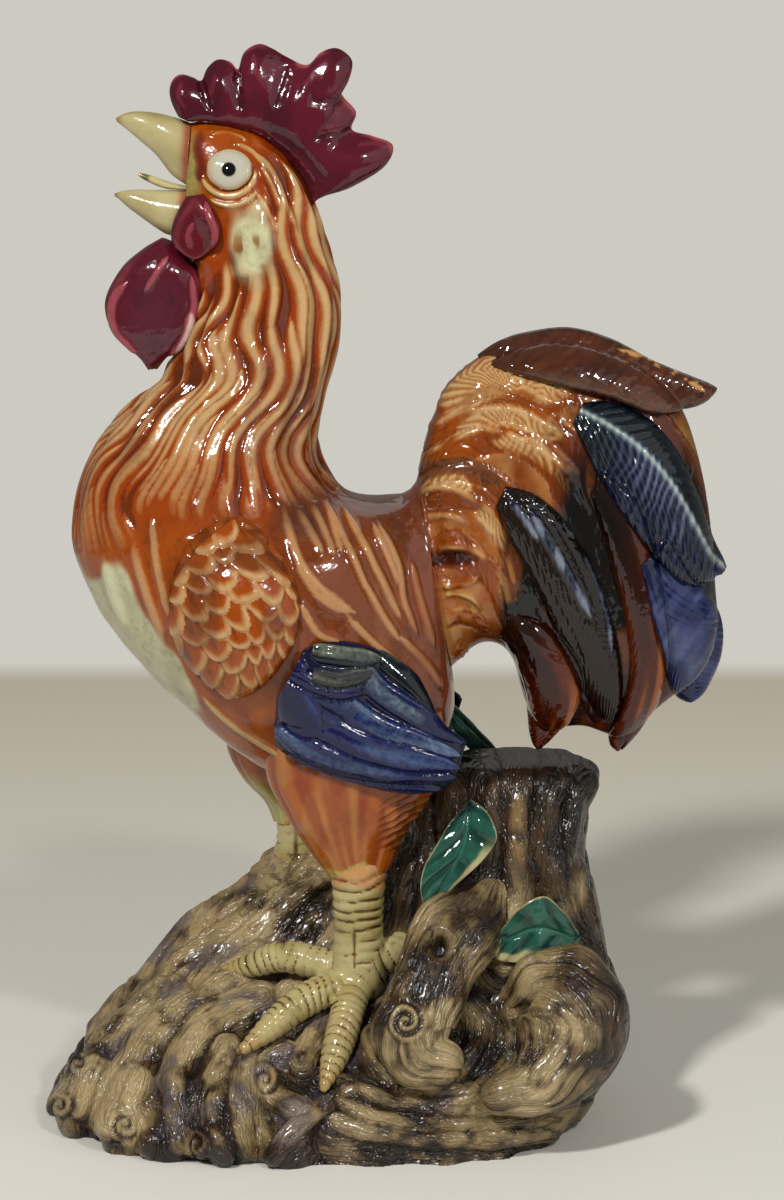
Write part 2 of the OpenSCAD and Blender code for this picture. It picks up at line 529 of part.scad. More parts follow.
root_base();
knot_root();
right_root();
leaf_upper();
leaf_lower();
leaf_rear();
body_shell();
comb();
beak_upper();
beak_lower();
tongue();
eye(false);  // eye_left
eye(true);  // eye_right
cheek_lobe(false);  // cheek_lobe_left
cheek_lobe(true);  // cheek_lobe_right
wattle(false);  // wattle_left
wattle(true);  // wattle_right
wing_coverts(false);  // wing_coverts_left
wing_coverts(true);  // wing_coverts_right
wing_flights(false);  // wing_flights_left
wing_flights(true);  // wing_flights_right
thigh(false);  // thigh_left
thigh(true);  // thigh_right
leg(false);  // leg_left
leg(true);  // leg_right
tail_core();
tail_feather(top_sickle, glaze_brown, false);  // top_sickle_left
tail_feather(top_sickle, glaze_brown, true);  // top_sickle_right
tail_feather(upper_sickle, glaze_cobalt, false, [rear_tip, lower_sickle]);  // upper_sickle_left
tail_feather(upper_sickle, glaze_cobalt, true, [rear_tip, lower_sickle]);  // upper_sickle_right
tail_feather(lower_sickle, glaze_cobalt, false, [rear_tip]);  // lower_sickle_left
tail_feather(lower_sickle, glaze_cobalt, true, [rear_tip]);  // lower_sickle_right
tail_feather(mid_sickle, glaze_cobalt, false, [front_tip, rear_tip]);  // mid_sickle_left
tail_feather(mid_sickle, glaze_cobalt, true, [front_tip, rear_tip]);  // mid_sickle_right
tail_feather(front_tip, glaze_brown, false);  // front_tip_left
tail_feather(front_tip, glaze_brown, true);  // front_tip_right
tail_feather(rear_tip, glaze_brown, false);  // rear_tip_left
tail_feather(rear_tip, glaze_brown, true);  // rear_tip_right
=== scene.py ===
import math

import bmesh
import bpy
import numpy as np
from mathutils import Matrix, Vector
from mathutils.kdtree import KDTree


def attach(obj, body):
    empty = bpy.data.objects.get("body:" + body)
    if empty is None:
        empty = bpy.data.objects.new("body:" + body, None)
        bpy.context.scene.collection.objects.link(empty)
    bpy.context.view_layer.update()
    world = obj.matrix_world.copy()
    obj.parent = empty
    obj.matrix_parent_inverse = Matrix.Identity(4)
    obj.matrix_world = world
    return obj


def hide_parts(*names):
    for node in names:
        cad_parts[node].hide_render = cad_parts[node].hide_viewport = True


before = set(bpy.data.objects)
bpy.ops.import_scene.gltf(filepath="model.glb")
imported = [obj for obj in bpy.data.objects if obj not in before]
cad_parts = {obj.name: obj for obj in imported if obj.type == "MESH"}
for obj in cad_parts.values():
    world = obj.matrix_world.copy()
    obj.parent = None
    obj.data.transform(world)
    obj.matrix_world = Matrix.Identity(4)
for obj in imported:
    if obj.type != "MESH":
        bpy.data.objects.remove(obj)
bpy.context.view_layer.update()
for thing in bpy.context.selected_objects:
    thing.select_set(False)

# Sizes in metres. The side view is read in picture steps, from an eye in front of the left flank
mm = 0.001
figure_h, figure_l = 320 * mm, 204 * mm
centre_px, foot_px = 382, 1112
step_l, step_h = figure_l / 692, figure_h / 1069
eye_reach, eye_h = 3.75 * figure_h, 1.15 * figure_h
body_w, tail_w, base_w = 82 * mm, 40 * mm, 120 * mm
comb_t, beak_w, tongue_w = 12 * mm, 13 * mm, 5 * mm
eye_t, lobe_t, wattle_t = 2.2 * mm, 3.5 * mm, 7 * mm
covert_t, flight_t, feather_t, edge_t, seat_gap = 5.5 * mm, 5 * mm, 4 * mm, 1.2 * mm, 0.3 * mm
thigh_w, shank_w, toe_w, leg_out = 29 * mm, 16.5 * mm, 10 * mm, 17 * mm
root_w, leaf_t = 26 * mm, 3 * mm
# Steps of the skins that are remeshed, and the box that cuts the base flat
base_step, root_step, leg_step = 0.95 * mm, 0.7 * mm, 0.65 * mm
slab_reach, slab_deep, vent_low, vent_high, foot_band = 200 * mm, 30 * mm, -10 * mm, 140 * mm, 1.2 * mm

# The same tables as the part's source
body_px = [
    [194, 118, 187, 228], [210, 118, 195, 238], [232, 120, 202, 250], [258, 128, 206, 265],
    [285, 146, 206, 285], [305, 172, 203, 303], [320, 205, 197, 322], [333, 245, 185, 345],
    [341, 290, 165, 367], [339, 335, 138, 386], [326, 380, 112, 410], [319, 416, 90, 445],
    [325, 450, 75, 490], [341, 474, 74, 535], [360, 484, 89, 578], [378, 486, 116, 622],
    [392, 485, 150, 662], [400, 484, 186, 696], [404, 483, 222, 730], [407, 481, 264, 757],
    [410, 479, 312, 776], [412, 477, 362, 786], [414, 474, 408, 780], [416, 471, 440, 745],
    [417, 468, 454, 700], [418, 464, 452, 655]]
body_w_shares = [0.15, 0.2, 0.24, 0.27, 0.3, 0.33, 0.36, 0.41, 0.47, 0.54, 0.61, 0.7, 0.78, 0.86,
    0.93, 0.98, 1, 0.99, 0.96, 0.91, 0.84, 0.75, 0.66, 0.58, 0.52, 0.48]
tail_px = [
    [418, 464, 452, 655], [424, 436, 478, 632], [440, 394, 500, 632], [472, 358, 515, 650],
    [512, 338, 527, 690], [555, 330, 545, 715], [600, 338, 585, 715], [645, 360, 622, 725],
    [680, 395, 650, 705], [700, 450, 675, 685], [712, 520, 695, 670], [718, 580, 706, 655],
    [720, 605, 714, 640]]
tail_w_shares = [0, 1, 1, 0.98, 0.95, 0.92, 0.87, 0.8, 0.7, 0.58, 0.45, 0.3, 0.14]
comb_px = [
    [182, 111, 190, 115], [176, 98, 197, 116], [174, 86, 202, 117], [178, 76, 206, 117],
    [186, 72, 211, 118], [197, 75, 216, 118], [205, 78, 221, 119], [211, 66, 227, 120],
    [221, 58, 233, 121], [233, 60, 239, 123], [241, 67, 245, 124], [247, 51, 251, 126],
    [261, 43, 257, 128], [274, 47, 264, 131], [288, 55, 270, 135], [308, 63, 277, 140],
    [322, 51, 283, 145], [338, 47, 288, 149], [352, 58, 292, 154], [350, 75, 296, 158],
    [342, 90, 298, 161], [356, 108, 301, 165], [352, 125, 303, 168], [372, 131, 306, 173],
    [392, 140, 308, 177], [384, 160, 310, 182], [352, 180, 312, 187], [330, 187, 314, 191],
    [318, 191, 316, 195]]
beak_upper_px = [[194, 118, 190, 178], [179, 113, 176, 168], [162, 109, 162, 151], [145, 107, 145, 135],
    [131, 108, 131, 124], [120, 113, 121, 117]]
beak_lower_px = [[189, 184, 186, 227], [175, 184, 169, 226], [158, 184, 150, 214], [140, 183, 134, 202],
    [127, 184, 124, 193], [118, 186, 118, 189]]
beak_w_shares = [1, 0.86, 0.66, 0.45, 0.26, 0.08]
tongue_px = [[189, 179, 189, 183], [172, 175, 170, 182], [155, 169, 153, 176], [142, 166, 141, 169]]
tongue_w_shares = [1, 0.9, 0.6, 0.2]
eye_px = [[209, 158, 209, 168, 0.3], [213, 151, 213, 175, 0.8], [222, 146, 222, 181, 1],
    [231, 144, 231, 183, 1], [241, 146, 241, 181, 1], [250, 152, 250, 174, 0.8], [254, 159, 254, 167, 0.3]]
lobe_px = [[188, 190, 206, 187, 0.4], [178, 207, 217, 203, 0.9], [173, 224, 223, 220, 1],
    [175, 238, 220, 236, 1], [184, 247, 210, 246, 0.7], [194, 252, 200, 251, 0.3]]
covert_px = [[222, 507, 244, 507, 0.3], [194, 525, 272, 530, 0.8], [175, 555, 292, 560, 1],
    [167, 590, 300, 592, 1], [168, 625, 296, 625, 1], [182, 655, 280, 655, 0.9],
    [205, 680, 258, 680, 0.6], [225, 691, 238, 691, 0.2]]
flight_px = [[304, 636, 276, 690, 0.5], [330, 628, 273, 733, 0.8], [362, 634, 290, 751, 1],
    [393, 648, 335, 770, 1], [418, 668, 390, 785, 1], [441, 712, 428, 786, 0.9],
    [458, 728, 452, 777, 0.7], [468, 736, 465, 745, 0.3]]
top_sickle_px = [[478, 348, 482, 358, 0.3], [500, 334, 500, 360, 0.7], [530, 325, 532, 368, 1],
    [570, 321, 570, 378, 1], [612, 332, 610, 388, 1], [655, 354, 650, 403, 1],
    [690, 368, 686, 402, 0.8], [710, 376, 706, 396, 0.6], [719, 381, 716, 387, 0.3]]
upper_sickle_px = [[583, 390, 572, 410, 0.3], [612, 390, 590, 448, 0.8], [650, 408, 616, 490, 1],
    [678, 440, 645, 528, 1], [700, 484, 668, 556, 1], [717, 530, 692, 570, 0.9],
    [727, 550, 712, 571, 0.6], [731, 560, 726, 568, 0.3]]
lower_sickle_px = [[668, 522, 640, 548, 0.3], [690, 560, 652, 600, 0.8], [712, 584, 664, 640, 1],
    [727, 615, 671, 670, 1], [727, 650, 680, 690, 0.8], [714, 682, 690, 697, 0.6],
    [703, 694, 697, 698, 0.3]]
mid_sickle_px = [[505, 470, 495, 490, 0.3], [535, 478, 507, 520, 0.8], [565, 505, 530, 560, 1],
    [590, 545, 552, 610, 1], [610, 595, 572, 650, 1], [622, 640, 590, 690, 0.9],
    [625, 680, 605, 712, 0.6], [620, 708, 613, 715, 0.3]]
rear_tip_px = [[600, 455, 590, 480, 0.3], [632, 480, 605, 530, 0.8], [652, 530, 622, 590, 1],
    [665, 590, 632, 650, 1], [670, 640, 626, 690, 1], [664, 690, 614, 722, 0.9],
    [648, 722, 614, 740, 0.6], [630, 744, 621, 748, 0.3]]
front_tip_px = [[510, 598, 500, 625, 0.3], [545, 608, 515, 650, 0.8], [575, 640, 527, 680, 1],
    [585, 676, 530, 708, 1], [574, 712, 532, 728, 0.8], [556, 734, 536, 741, 0.5],
    [545, 744, 540, 746, 0.3]]
thigh_px = [[270, 700, 440, 700], [264, 760, 446, 752], [282, 802, 428, 792], [308, 840, 404, 828],
    [328, 868, 388, 862]]
thigh_w_shares = [1, 1, 0.86, 0.64, 0.48]
far_thigh_px = [[232, 690, 400, 700], [226, 735, 400, 745], [240, 765, 375, 775],
    [262, 790, 345, 790], [272, 812, 330, 808]]
near_leg_px = [[358, 858], [358, 972]]
near_toes_px = [[217, 968, 0.03], [236, 1052, 0.33], [322, 1090, 0.41], [424, 918, 0.06]]
near_knuckles_px = [[282, 952, 0.1], [292, 1005, 0.24], [340, 1035, 0.29], [396, 946, 0.12]]
far_leg_px = [[301, 800], [299, 850]]
base_rise_shares = [0, 0.03, 0.065, 0.1, 0.138, 0.172, 0.203, 0.226, 0.24, 0.252, 0.29, 0.325, 0.34]
base_plan = [
    [[46, 0.1], [74, -0.4], [150, -0.78], [260, -0.93], [375, -0.96], [480, -0.9], [550, -0.64],
     [580, -0.1], [565, 0.5], [470, 0.9], [300, 1], [120, 0.7]],
    [[42, 0.1], [76, -0.4], [150, -0.76], [260, -0.9], [375, -0.93], [490, -0.88], [568, -0.6],
     [598, -0.1], [578, 0.5], [475, 0.88], [300, 0.97], [120, 0.68]],
    [[64, 0.1], [98, -0.35], [165, -0.65], [265, -0.76], [370, -0.84], [500, -0.82], [592, -0.52],
     [622, -0.08], [600, 0.5], [480, 0.85], [300, 0.93], [135, 0.65]],
    [[100, 0.12], [134, -0.25], [190, -0.45], [275, -0.5], [365, -0.62], [500, -0.7], [602, -0.45],
     [633, -0.05], [608, 0.48], [480, 0.8], [300, 0.88], [160, 0.62]],
    [[144, 0.2], [180, -0.03], [225, -0.12], [290, -0.17], [362, -0.25], [480, -0.58], [590, -0.42],
     [620, -0.03], [600, 0.45], [475, 0.75], [310, 0.83], [200, 0.62]],
    [[172, 0.3], [210, 0.14], [250, 0.06], [300, 0], [372, -0.12], [465, -0.48], [578, -0.4],
     [606, -0.02], [590, 0.42], [470, 0.68], [320, 0.76], [220, 0.6]],
    [[232, 0.36], [255, 0.22], [285, 0.14], [325, 0.05], [385, -0.15], [465, -0.42], [572, -0.38],
     [600, -0.02], [584, 0.4], [465, 0.62], [335, 0.68], [262, 0.56]],
    [[256, 0.32], [270, 0.2], [293, 0.12], [332, 0.03], [390, -0.16], [465, -0.4], [568, -0.36],
     [594, -0.02], [580, 0.38], [465, 0.57], [340, 0.6], [274, 0.5]],
    [[284, 0.3], [294, 0.21], [312, 0.14], [345, 0.04], [392, -0.17], [465, -0.39], [566, -0.35],
     [592, -0.02], [578, 0.36], [465, 0.53], [358, 0.5], [302, 0.42]],
    [[392, 0.05], [396, -0.06], [404, -0.16], [418, -0.24], [440, -0.31], [480, -0.38], [562, -0.34],
     [588, -0.02], [576, 0.34], [500, 0.46], [440, 0.4], [402, 0.22]],
    [[408, 0.05], [411, -0.06], [418, -0.15], [432, -0.23], [458, -0.3], [505, -0.35], [575, -0.28],
     [603, 0], [588, 0.3], [520, 0.42], [460, 0.36], [422, 0.2]],
    [[418, 0.05], [421, -0.05], [428, -0.14], [444, -0.21], [468, -0.27], [510, -0.31], [576, -0.25],
     [605, 0.02], [588, 0.28], [524, 0.38], [462, 0.32], [428, 0.18]],
    [[436, 0.05], [439, -0.03], [446, -0.1], [460, -0.16], [482, -0.2], [514, -0.23], [562, -0.18],
     [584, 0.03], [570, 0.22], [518, 0.3], [472, 0.25], [444, 0.15]]]
cavity_share, cavity_levels, wall = 0.87, 7, 5 * mm
vent_x, vent_r = (456 - centre_px) * step_l, 5 * mm
rim_roots_px = [[80, 1072, -0.1, 66, -0.02], [98, 1066, -0.36, 84, -0.38], [140, 1062, -0.56, 124, -0.64],
    [184, 1060, -0.66, 172, -0.78], [236, 1066, -0.74, 228, -0.84], [300, 1074, -0.8, 292, -0.88],
    [106, 1062, 0.42, 92, 0.46], [200, 1060, 0.74, 186, 0.82], [400, 1060, 0.82, 410, 0.88]]
rim_root_share = 0.055
knot_root_px = [[484, 888, 0.34, 0.55], [472, 906, 0.41, 0.8], [456, 932, 0.5, 1], [441, 960, 0.59, 0.95],
    [429, 988, 0.69, 0.9], [418, 1014, 0.77, 0.85], [408, 1036, 0.84, 0.8], [420, 1056, 0.86, 0.7],
    [440, 1064, 0.88, 0.55]]
knot_px = [441, 942]
right_root_px = [[526, 996, 0.5, 0.6], [545, 984, 0.54, 0.85], [564, 990, 0.58, 1.15], [574, 1012, 0.63, 1.35],
    [572, 1036, 0.68, 1.3], [563, 1058, 0.75, 1.1], [550, 1078, 0.82, 0.9], [530, 1092, 0.86, 0.7],
    [505, 1098, 0.9, 0.5]]
leaf_upper_px = [[472, 790, 468, 794, 0.34], [486, 800, 452, 812, 0.38], [496, 816, 440, 832, 0.42],
    [498, 832, 428, 852, 0.44], [486, 850, 422, 868, 0.45], [468, 868, 421, 884, 0.45],
    [450, 884, 424, 896, 0.44], [438, 896, 428, 902, 0.42], [433, 902, 430, 905, 0.41]]
leaf_lower_px = [[584, 932, 583, 928, 0.4], [572, 946, 574, 914, 0.45], [558, 952, 562, 900, 0.5],
    [542, 955, 550, 890, 0.53], [526, 957, 536, 892, 0.54], [512, 957, 520, 904, 0.54],
    [502, 955, 508, 918, 0.53], [497, 952, 498, 932, 0.52], [493, 946, 493, 940, 0.5]]
leaf_rear_px = [[512, 756, 508, 760, -0.22], [502, 744, 494, 756, -0.3], [492, 732, 482, 748, -0.35],
    [482, 722, 471, 740, -0.37], [474, 713, 462, 731, -0.37], [466, 705, 455, 722, -0.36],
    [459, 698, 450, 713, -0.35], [453, 692, 447, 704, -0.34], [448, 689, 446, 694, -0.33]]

# Share of the half depth by which the base is drawn in at every second side; the neck's grooves
root_hollow_share, base_sides = 0.045, 36
hackle_shares = [0, 0, 0, 0, 0.12, 0.24, 0.3, 0.32, 0.32, 0.32, 0.32, 0.28, 0.2, 0.08]

# The far toes lie shorter than in the solids, behind the mound
far_toes_seen = [[276, 874, -0.13], [276, 868, -0.24], [288, 856, -0.34], [334, 850, -0.17]]
far_knuckles_seen = [[286, 864, -0.13], [286, 860, -0.2], [290, 850, -0.26], [318, 850, -0.15]]
# The wattle as the glaze shows it, shorter and closer to the throat than in the solid
wattle_seen = [[162, 233, 180, 240, 0.3], [143, 244, 193, 256, 0.7], [122, 262, 204, 272, 1],
    [107, 288, 206, 290, 1], [106, 308, 203, 308, 1], [114, 326, 196, 324, 0.9],
    [129, 341, 184, 338, 0.7], [141, 352, 168, 348, 0.5], [149, 361, 156, 360, 0.2]]

# Places read from the picture: middles and reaches, and where a glaze begins and ends
ear_px, beak_root_px = ((252, 232), (24, 34)), ((190, 164), (13, 46))
tail_hollow_px, leafy_px = ((452, 547), (25, 9)), ((454, 600), (24, 30))
stump_streak_px, eye_centre_px, scale_start_px = ((521, 822), (9, 34)), (231, 163), (232, 590)
bib_edge_px = [545, 570, 603, 623, 650, 690, 720], [112, 131, 143, 163, 177, 197, 205]
hackle_end_px, breast_px, throat_px = 520, (120, 150), (226, 238, 252, 372)
neck_worn_px, neck_mauve_px, saddle_px, rump_px = (400, 480), (250, 420), (455, 500), (396, 414)
tail_rear_px, tail_dark_px, tail_low_px, tail_strip_px = (520, 590), (556, 590), (640, 690), (672, 684)
stump_left_px, stump_foot_px, stump_right_px, stump_rise_px = (372, 400), 908, (572, 592), 800
rim_px = (1128, 1160)
near_thigh_end_px, far_thigh_end_px, thigh_rear_px, thigh_hatch_px = 858, 806, (372, 398), (775, 800, 835, 850)
comb_swells_px = [
    (186, 90, 9, 12, 1.3), (221, 76, 7, 13, 1.3), (258, 66, 11, 18, 1.5), (264, 104, 20, 14, 0.9),
    (308, 100, 18, 24, 1.5), (338, 66, 11, 14, 1.7), (340, 110, 12, 9, 1.0), (366, 154, 22, 12, 1.7),
    (322, 148, 16, 16, 0.9)]
coils = [((408, 1021), 20, 10.0), ((193, 1148), 15, 9.0), ((118, 1128), 16, 10.0), ((53, 1108), 13, 9.0),
         ((72, 1066), 11, 9.0), ((262, 1082), 17, 10.0), ((300, 885), 11, 14.0)]
beak_shadow = [([(205, 122), (201, 142), (204, 160), (201, 178)], 6)]
lobe_lights = [([(207, 192), (211, 206), (217, 224), (214, 240)], 3.5),
               ([(196, 214), (190, 228), (194, 242)], 3)]
# A painted highlight down the wattle's right side: places along it, and its half width
wattle_painted_highlight = [([(192, 300), (187, 326), (172, 352)], 4)]

# Marks read from the picture: places along each, and its half width
flank_strands = [
    ([(326, 490), (334, 516), (342, 545)], 5), ([(340, 490), (364, 533), (377, 560), (404, 614)], 6),
    ([(371, 509), (388, 545), (400, 578)], 5.5), ([(352, 512), (378, 562), (396, 600)], 5),
    ([(278, 475), (288, 516), (301, 553), (324, 580), (364, 608)], 7),
    ([(293, 545), (317, 583), (352, 604)], 6),
    ([(292, 489), (308, 516), (324, 545)], 6), ([(303, 478), (320, 510), (336, 548)], 5.5),
    ([(298, 588), (318, 622), (346, 632)], 6), ([(342, 600), (378, 636), (420, 668)], 6),
    ([(396, 622), (424, 650), (444, 680)], 6), ([(374, 505), (396, 548), (404, 590), (420, 630)], 5.5),
    ([(358, 560), (380, 600), (402, 634)], 5.5), ([(312, 470), (330, 500), (350, 540), (372, 590)], 5.5),
    ([(410, 545), (420, 590), (436, 640)], 6), ([(100, 520), (110, 575), (128, 620)], 6),
    ([(128, 520), (146, 580), (166, 640)], 7),
    ([(150, 500), (158, 560), (170, 610)], 6), ([(330, 700), (380, 720), (430, 730)], 6)]
head_strands = [
    ([(212, 131), (230, 127), (250, 135)], 3.5), ([(236, 138), (254, 146), (270, 164)], 4),
    ([(255, 145), (276, 166), (287, 192), (300, 226)], 5),
    ([(272, 141), (296, 165), (312, 196), (326, 236)], 5.5), ([(262, 158), (274, 178), (284, 206)], 4),
    ([(288, 140), (306, 168), (322, 206)], 5),
    ([(256, 182), (268, 200), (282, 228)], 4), ([(210, 122), (228, 119), (250, 125), (270, 138)], 3.5)]
eye_lids = [([(x + rx * math.cos(a), y + ry * math.sin(a)) for a in np.linspace(*arc)], w)
            for x, y, rx, ry, arc, w in ((231, 163, 27, 26, (-0.1, 3.0, 9), 3.4),
                                         (232, 165, 33, 33, (0.5, 2.3, 7), 2.8))]
belly_lip = [([(196, 676), (221, 706), (257, 732), (298, 754), (340, 770)], 3.2)]
comb_dents = [
    ([(203, 76), (209, 94), (216, 108)], 6), ([(241, 66), (240, 84), (244, 108)], 8),
    ([(290, 62), (284, 82), (276, 106)], 9),
    ([(346, 92), (326, 98), (308, 94)], 7), ([(354, 126), (336, 130), (314, 134)], 7),
    ([(330, 178), (316, 160), (304, 146), (288, 132), (268, 124)], 6)]
# Painted highlights on the comb: places along each, and its half width
comb_painted_highlights = [
    ([(219, 70), (217, 82), (211, 96)], 3), ([(256, 50), (258, 66), (265, 82)], 3),
    ([(330, 58), (318, 70), (304, 86)], 3.5),
    ([(350, 62), (348, 78), (338, 92)], 3), ([(352, 128), (338, 126), (324, 120)], 3.5),
    ([(388, 142), (372, 138), (356, 141)], 3),
    ([(187, 78), (183, 92), (190, 106)], 2.5)]
wattle_folds = [
    ([(172, 246), (160, 262), (146, 284)], 3.5), ([(132, 270), (115, 294), (118, 322), (142, 344)], 4),
    ([(192, 262), (195, 300), (184, 332), (166, 348)], 3.5)]
top_worn = [([(612, 337), (640, 346), (664, 357), (708, 375)], 3.2), ([(668, 360), (690, 371), (706, 382)], 3)]
mid_blades = [([(525, 491), (553, 536), (580, 582), (596, 612)], 7),
              ([(581, 524), (598, 571), (609, 606), (614, 648)], 4), ([(505, 486), (520, 500), (540, 530)], 5)]
mid_fan = [([(550, 452), (576, 488), (592, 526), (599, 560)], 8), ([(540, 470), (560, 496), (578, 530)], 5)]
mid_gaps = [([(515, 478), (545, 505), (575, 555), (600, 620)], 4),
            ([(500, 500), (530, 545), (560, 600), (590, 660)], 4)]
tail_marks = [
    ([(426, 429), (448, 408), (471, 400), (529, 402), (576, 433)], 3.5),
    ([(426, 452), (452, 430), (483, 419), (519, 429), (567, 462), (590, 514)], 3.5),
    ([(400, 498), (424, 482), (448, 476), (490, 498), (505, 519)], 3.5),
    ([(426, 548), (448, 536), (471, 538), (495, 555), (512, 590), (521, 633)], 4),
    ([(412, 590), (424, 620), (436, 648), (445, 662)], 4),
    ([(428, 560), (440, 570), (462, 572), (482, 562)], 3.5),
    ([(470, 500), (492, 520), (508, 552), (520, 600)], 3.5),
    ([(440, 590), (452, 580), (470, 586), (482, 600)], 3),
    ([(410, 520), (426, 506), (450, 504), (472, 516)], 3.5), ([(500, 380), (540, 384), (580, 404)], 3)]
tail_creams = [
    ([(446, 408), (470, 376), (505, 364), (540, 368), (580, 384)], 22),
    ([(455, 432), (485, 406), (530, 410), (570, 430)], 13),
    ([(490, 434), (530, 436), (562, 458), (590, 500)], 11), ([(560, 396), (590, 420), (604, 452)], 11),
    ([(402, 498), (425, 474), (450, 468), (474, 482)], 10),
    ([(500, 560), (512, 590), (522, 632)], 10), ([(470, 500), (490, 510), (506, 540)], 9)]
tail_mauve = [([(400, 484), (424, 462), (455, 454), (480, 459), (506, 478)], 9)]
root_routes = [
    ([(330, 862), (270, 892), (207, 921), (145, 990), (95, 1040)], 24),
    ([(312, 880), (270, 912), (226, 944), (190, 990)], 20),
    ([(250, 950), (200, 985), (145, 1015), (118, 1070), (104, 1127)], 22),
    ([(100, 1030), (84, 1070), (70, 1110)], 16),
    ([(60, 1085), (48, 1108), (60, 1135)], 15),
    ([(258, 990), (210, 1012), (182, 1040), (164, 1080), (176, 1150)], 18),
    ([(130, 1075), (118, 1110), (130, 1158)], 17), ([(225, 1040), (205, 1080), (200, 1130), (216, 1165)], 16),
    ([(300, 1000), (270, 1030), (246, 1062), (240, 1110), (252, 1160)], 17),
    ([(286, 1052), (262, 1062), (268, 1092), (300, 1112)], 14),
    ([(350, 1090), (320, 1110), (290, 1130), (270, 1165)], 13), ([(380, 960), (330, 1010), (300, 1060)], 16),
    ([(320, 1077), (395, 1102), (470, 1115), (570, 1109)], 11),
    ([(332, 1127), (400, 1142), (457, 1142), (557, 1140)], 11),
    ([(370, 1034), (395, 1077), (457, 1096), (540, 1090)], 12),
    ([(330, 1105), (400, 1124), (470, 1130), (580, 1124)], 10),
    ([(514, 1002), (524, 1052), (490, 1095), (440, 1110)], 15),
    ([(507, 952), (582, 965), (622, 1021), (605, 1090), (560, 1130)], 22),
    ([(470, 1002), (480, 1040), (450, 1080), (400, 1092)], 14),
    ([(560, 990), (580, 1030), (566, 1080), (530, 1110)], 15),
    ([(418, 800), (410, 850), (400, 905), (380, 960)], 18), ([(455, 780), (450, 840), (430, 900)], 18),
    ([(488, 770), (492, 840), (478, 900), (500, 950)], 17),
    ([(524, 760), (518, 822), (524, 880), (515, 940)], 16),
    ([(560, 765), (552, 830), (562, 900), (590, 950)], 16),
    ([(592, 775), (578, 830), (588, 900), (606, 960)], 13),
    ([(362, 880), (350, 920), (318, 960), (280, 990)], 16),
    ([(300, 870), (250, 925), (180, 960), (130, 1000)], 18)]
mauve_pools = [((285, 946), (46, 9)), ((160, 1106), (8, 34)), ((238, 1082), (11, 26)), ((250, 1003), (30, 11)),
               ((332, 990), (14, 36)), ((348, 1045), (10, 24)), ((345, 1000), (16, 30)),
               ((395, 975), (20, 16)), ((180, 1000), (14, 10))]


# Curves, places and forms
def ease(x, low=0.0, high=1.0):
    t = np.clip((np.asarray(x, float) - low) / (high - low), 0, 1)
    return t * t * (3 - 2 * t)


def blend(a, b, share):
    share = np.asarray(share, float)
    a, b = np.asarray(a, float), np.asarray(b, float)
    if a.ndim > share.ndim or b.ndim > share.ndim:
        share = share[..., None]
    return a + (b - a) * share


def along(rows, t):
    """Catmull-Rom through the rows of a table, read at the row numbers t."""
    rows = np.asarray(rows, float)
    last = len(rows) - 1
    t = np.clip(np.asarray(t, float), 0, last)
    i = np.minimum(t.astype(int), last - 1)
    f = (t - i).reshape((-1,) + (1,) * (rows.ndim - 1))
    a, b, c, d = rows[np.maximum(i - 1, 0)], rows[i], rows[i + 1], rows[np.minimum(i + 2, last)]
    return b + f * (c - a) / 2 + f**2 * (a - 2.5 * b + 2 * c - d / 2) + f**3 * (1.5 * b - a / 2 - 1.5 * c
            + d / 2)


def sampled(rows, count):
    """A table read at so many even steps."""
    return along(rows, np.linspace(0, len(rows) - 1, count))


def running(line):
    """How far along a line each of its places lies."""
    return np.concatenate([[0], np.cumsum(np.linalg.norm(np.diff(line, axis=0), axis=1))])


def angles(sides):
    return 2 * math.pi * np.arange(sides) / sides


def peak(x, width):
    """One where x is nothing, falling off over the width on both sides."""
    return np.exp(-(x / width) ** 2)


def cycle(turns):
    """Even ridges and grooves, one for each turn, 0 to 1."""
    return 0.5 + 0.5 * np.cos(2 * math.pi * turns)


def closed(points, count):
    """A closed line through points, read at so many even steps."""
    points = np.asarray(points, float)
    n = len(points)
    wrapped = np.concatenate([points[-1:], points, points[:2]])
    return along(wrapped, 1 + n * np.arange(count) / count)


def flat(p, out=0.0):
    """Picture steps to metres across and up, for a place that far out towards the eye."""
    p = np.asarray(p, float)
    k = 1 - np.asarray(out, float) / eye_reach
    return np.stack([(p[..., 0] - centre_px) * step_l * k,
                     eye_h + ((foot_px - p[..., 1]) * step_h - eye_h) * k], -1)


def side_view(co):
    """Where a place shows in the side view from its own flank, in picture steps."""
    k = 1 - np.abs(co[..., 1]) / eye_reach
    return np.stack([centre_px + co[..., 0] / (k * step_l),
                     foot_px - ((co[..., 2] - eye_h) / k + eye_h) / step_h], -1)


def bands(table, shares, width, count):
    """A form from a table of its upper and lower edges: both edges in metres and its half width."""
    rows = sampled(np.column_stack([table, shares]), count)
    return flat(rows[:, 0:2]), flat(rows[:, 2:4]), rows[:, 4] * width / 2


def ring_grid(form, sides, out=0.0):
    """The points of a form, one oval ring for each of its rows."""
    upper, lower, half = form
    a = angles(sides)
    p = ((upper + lower) / 2)[:, None] + ((upper - lower) / 2)[:, None] * np.cos(a)[None, :, None]
    y = -out - half[:, None] * np.sin(a)[None]
    return np.stack([p[..., 0], y, p[..., 1]], -1)


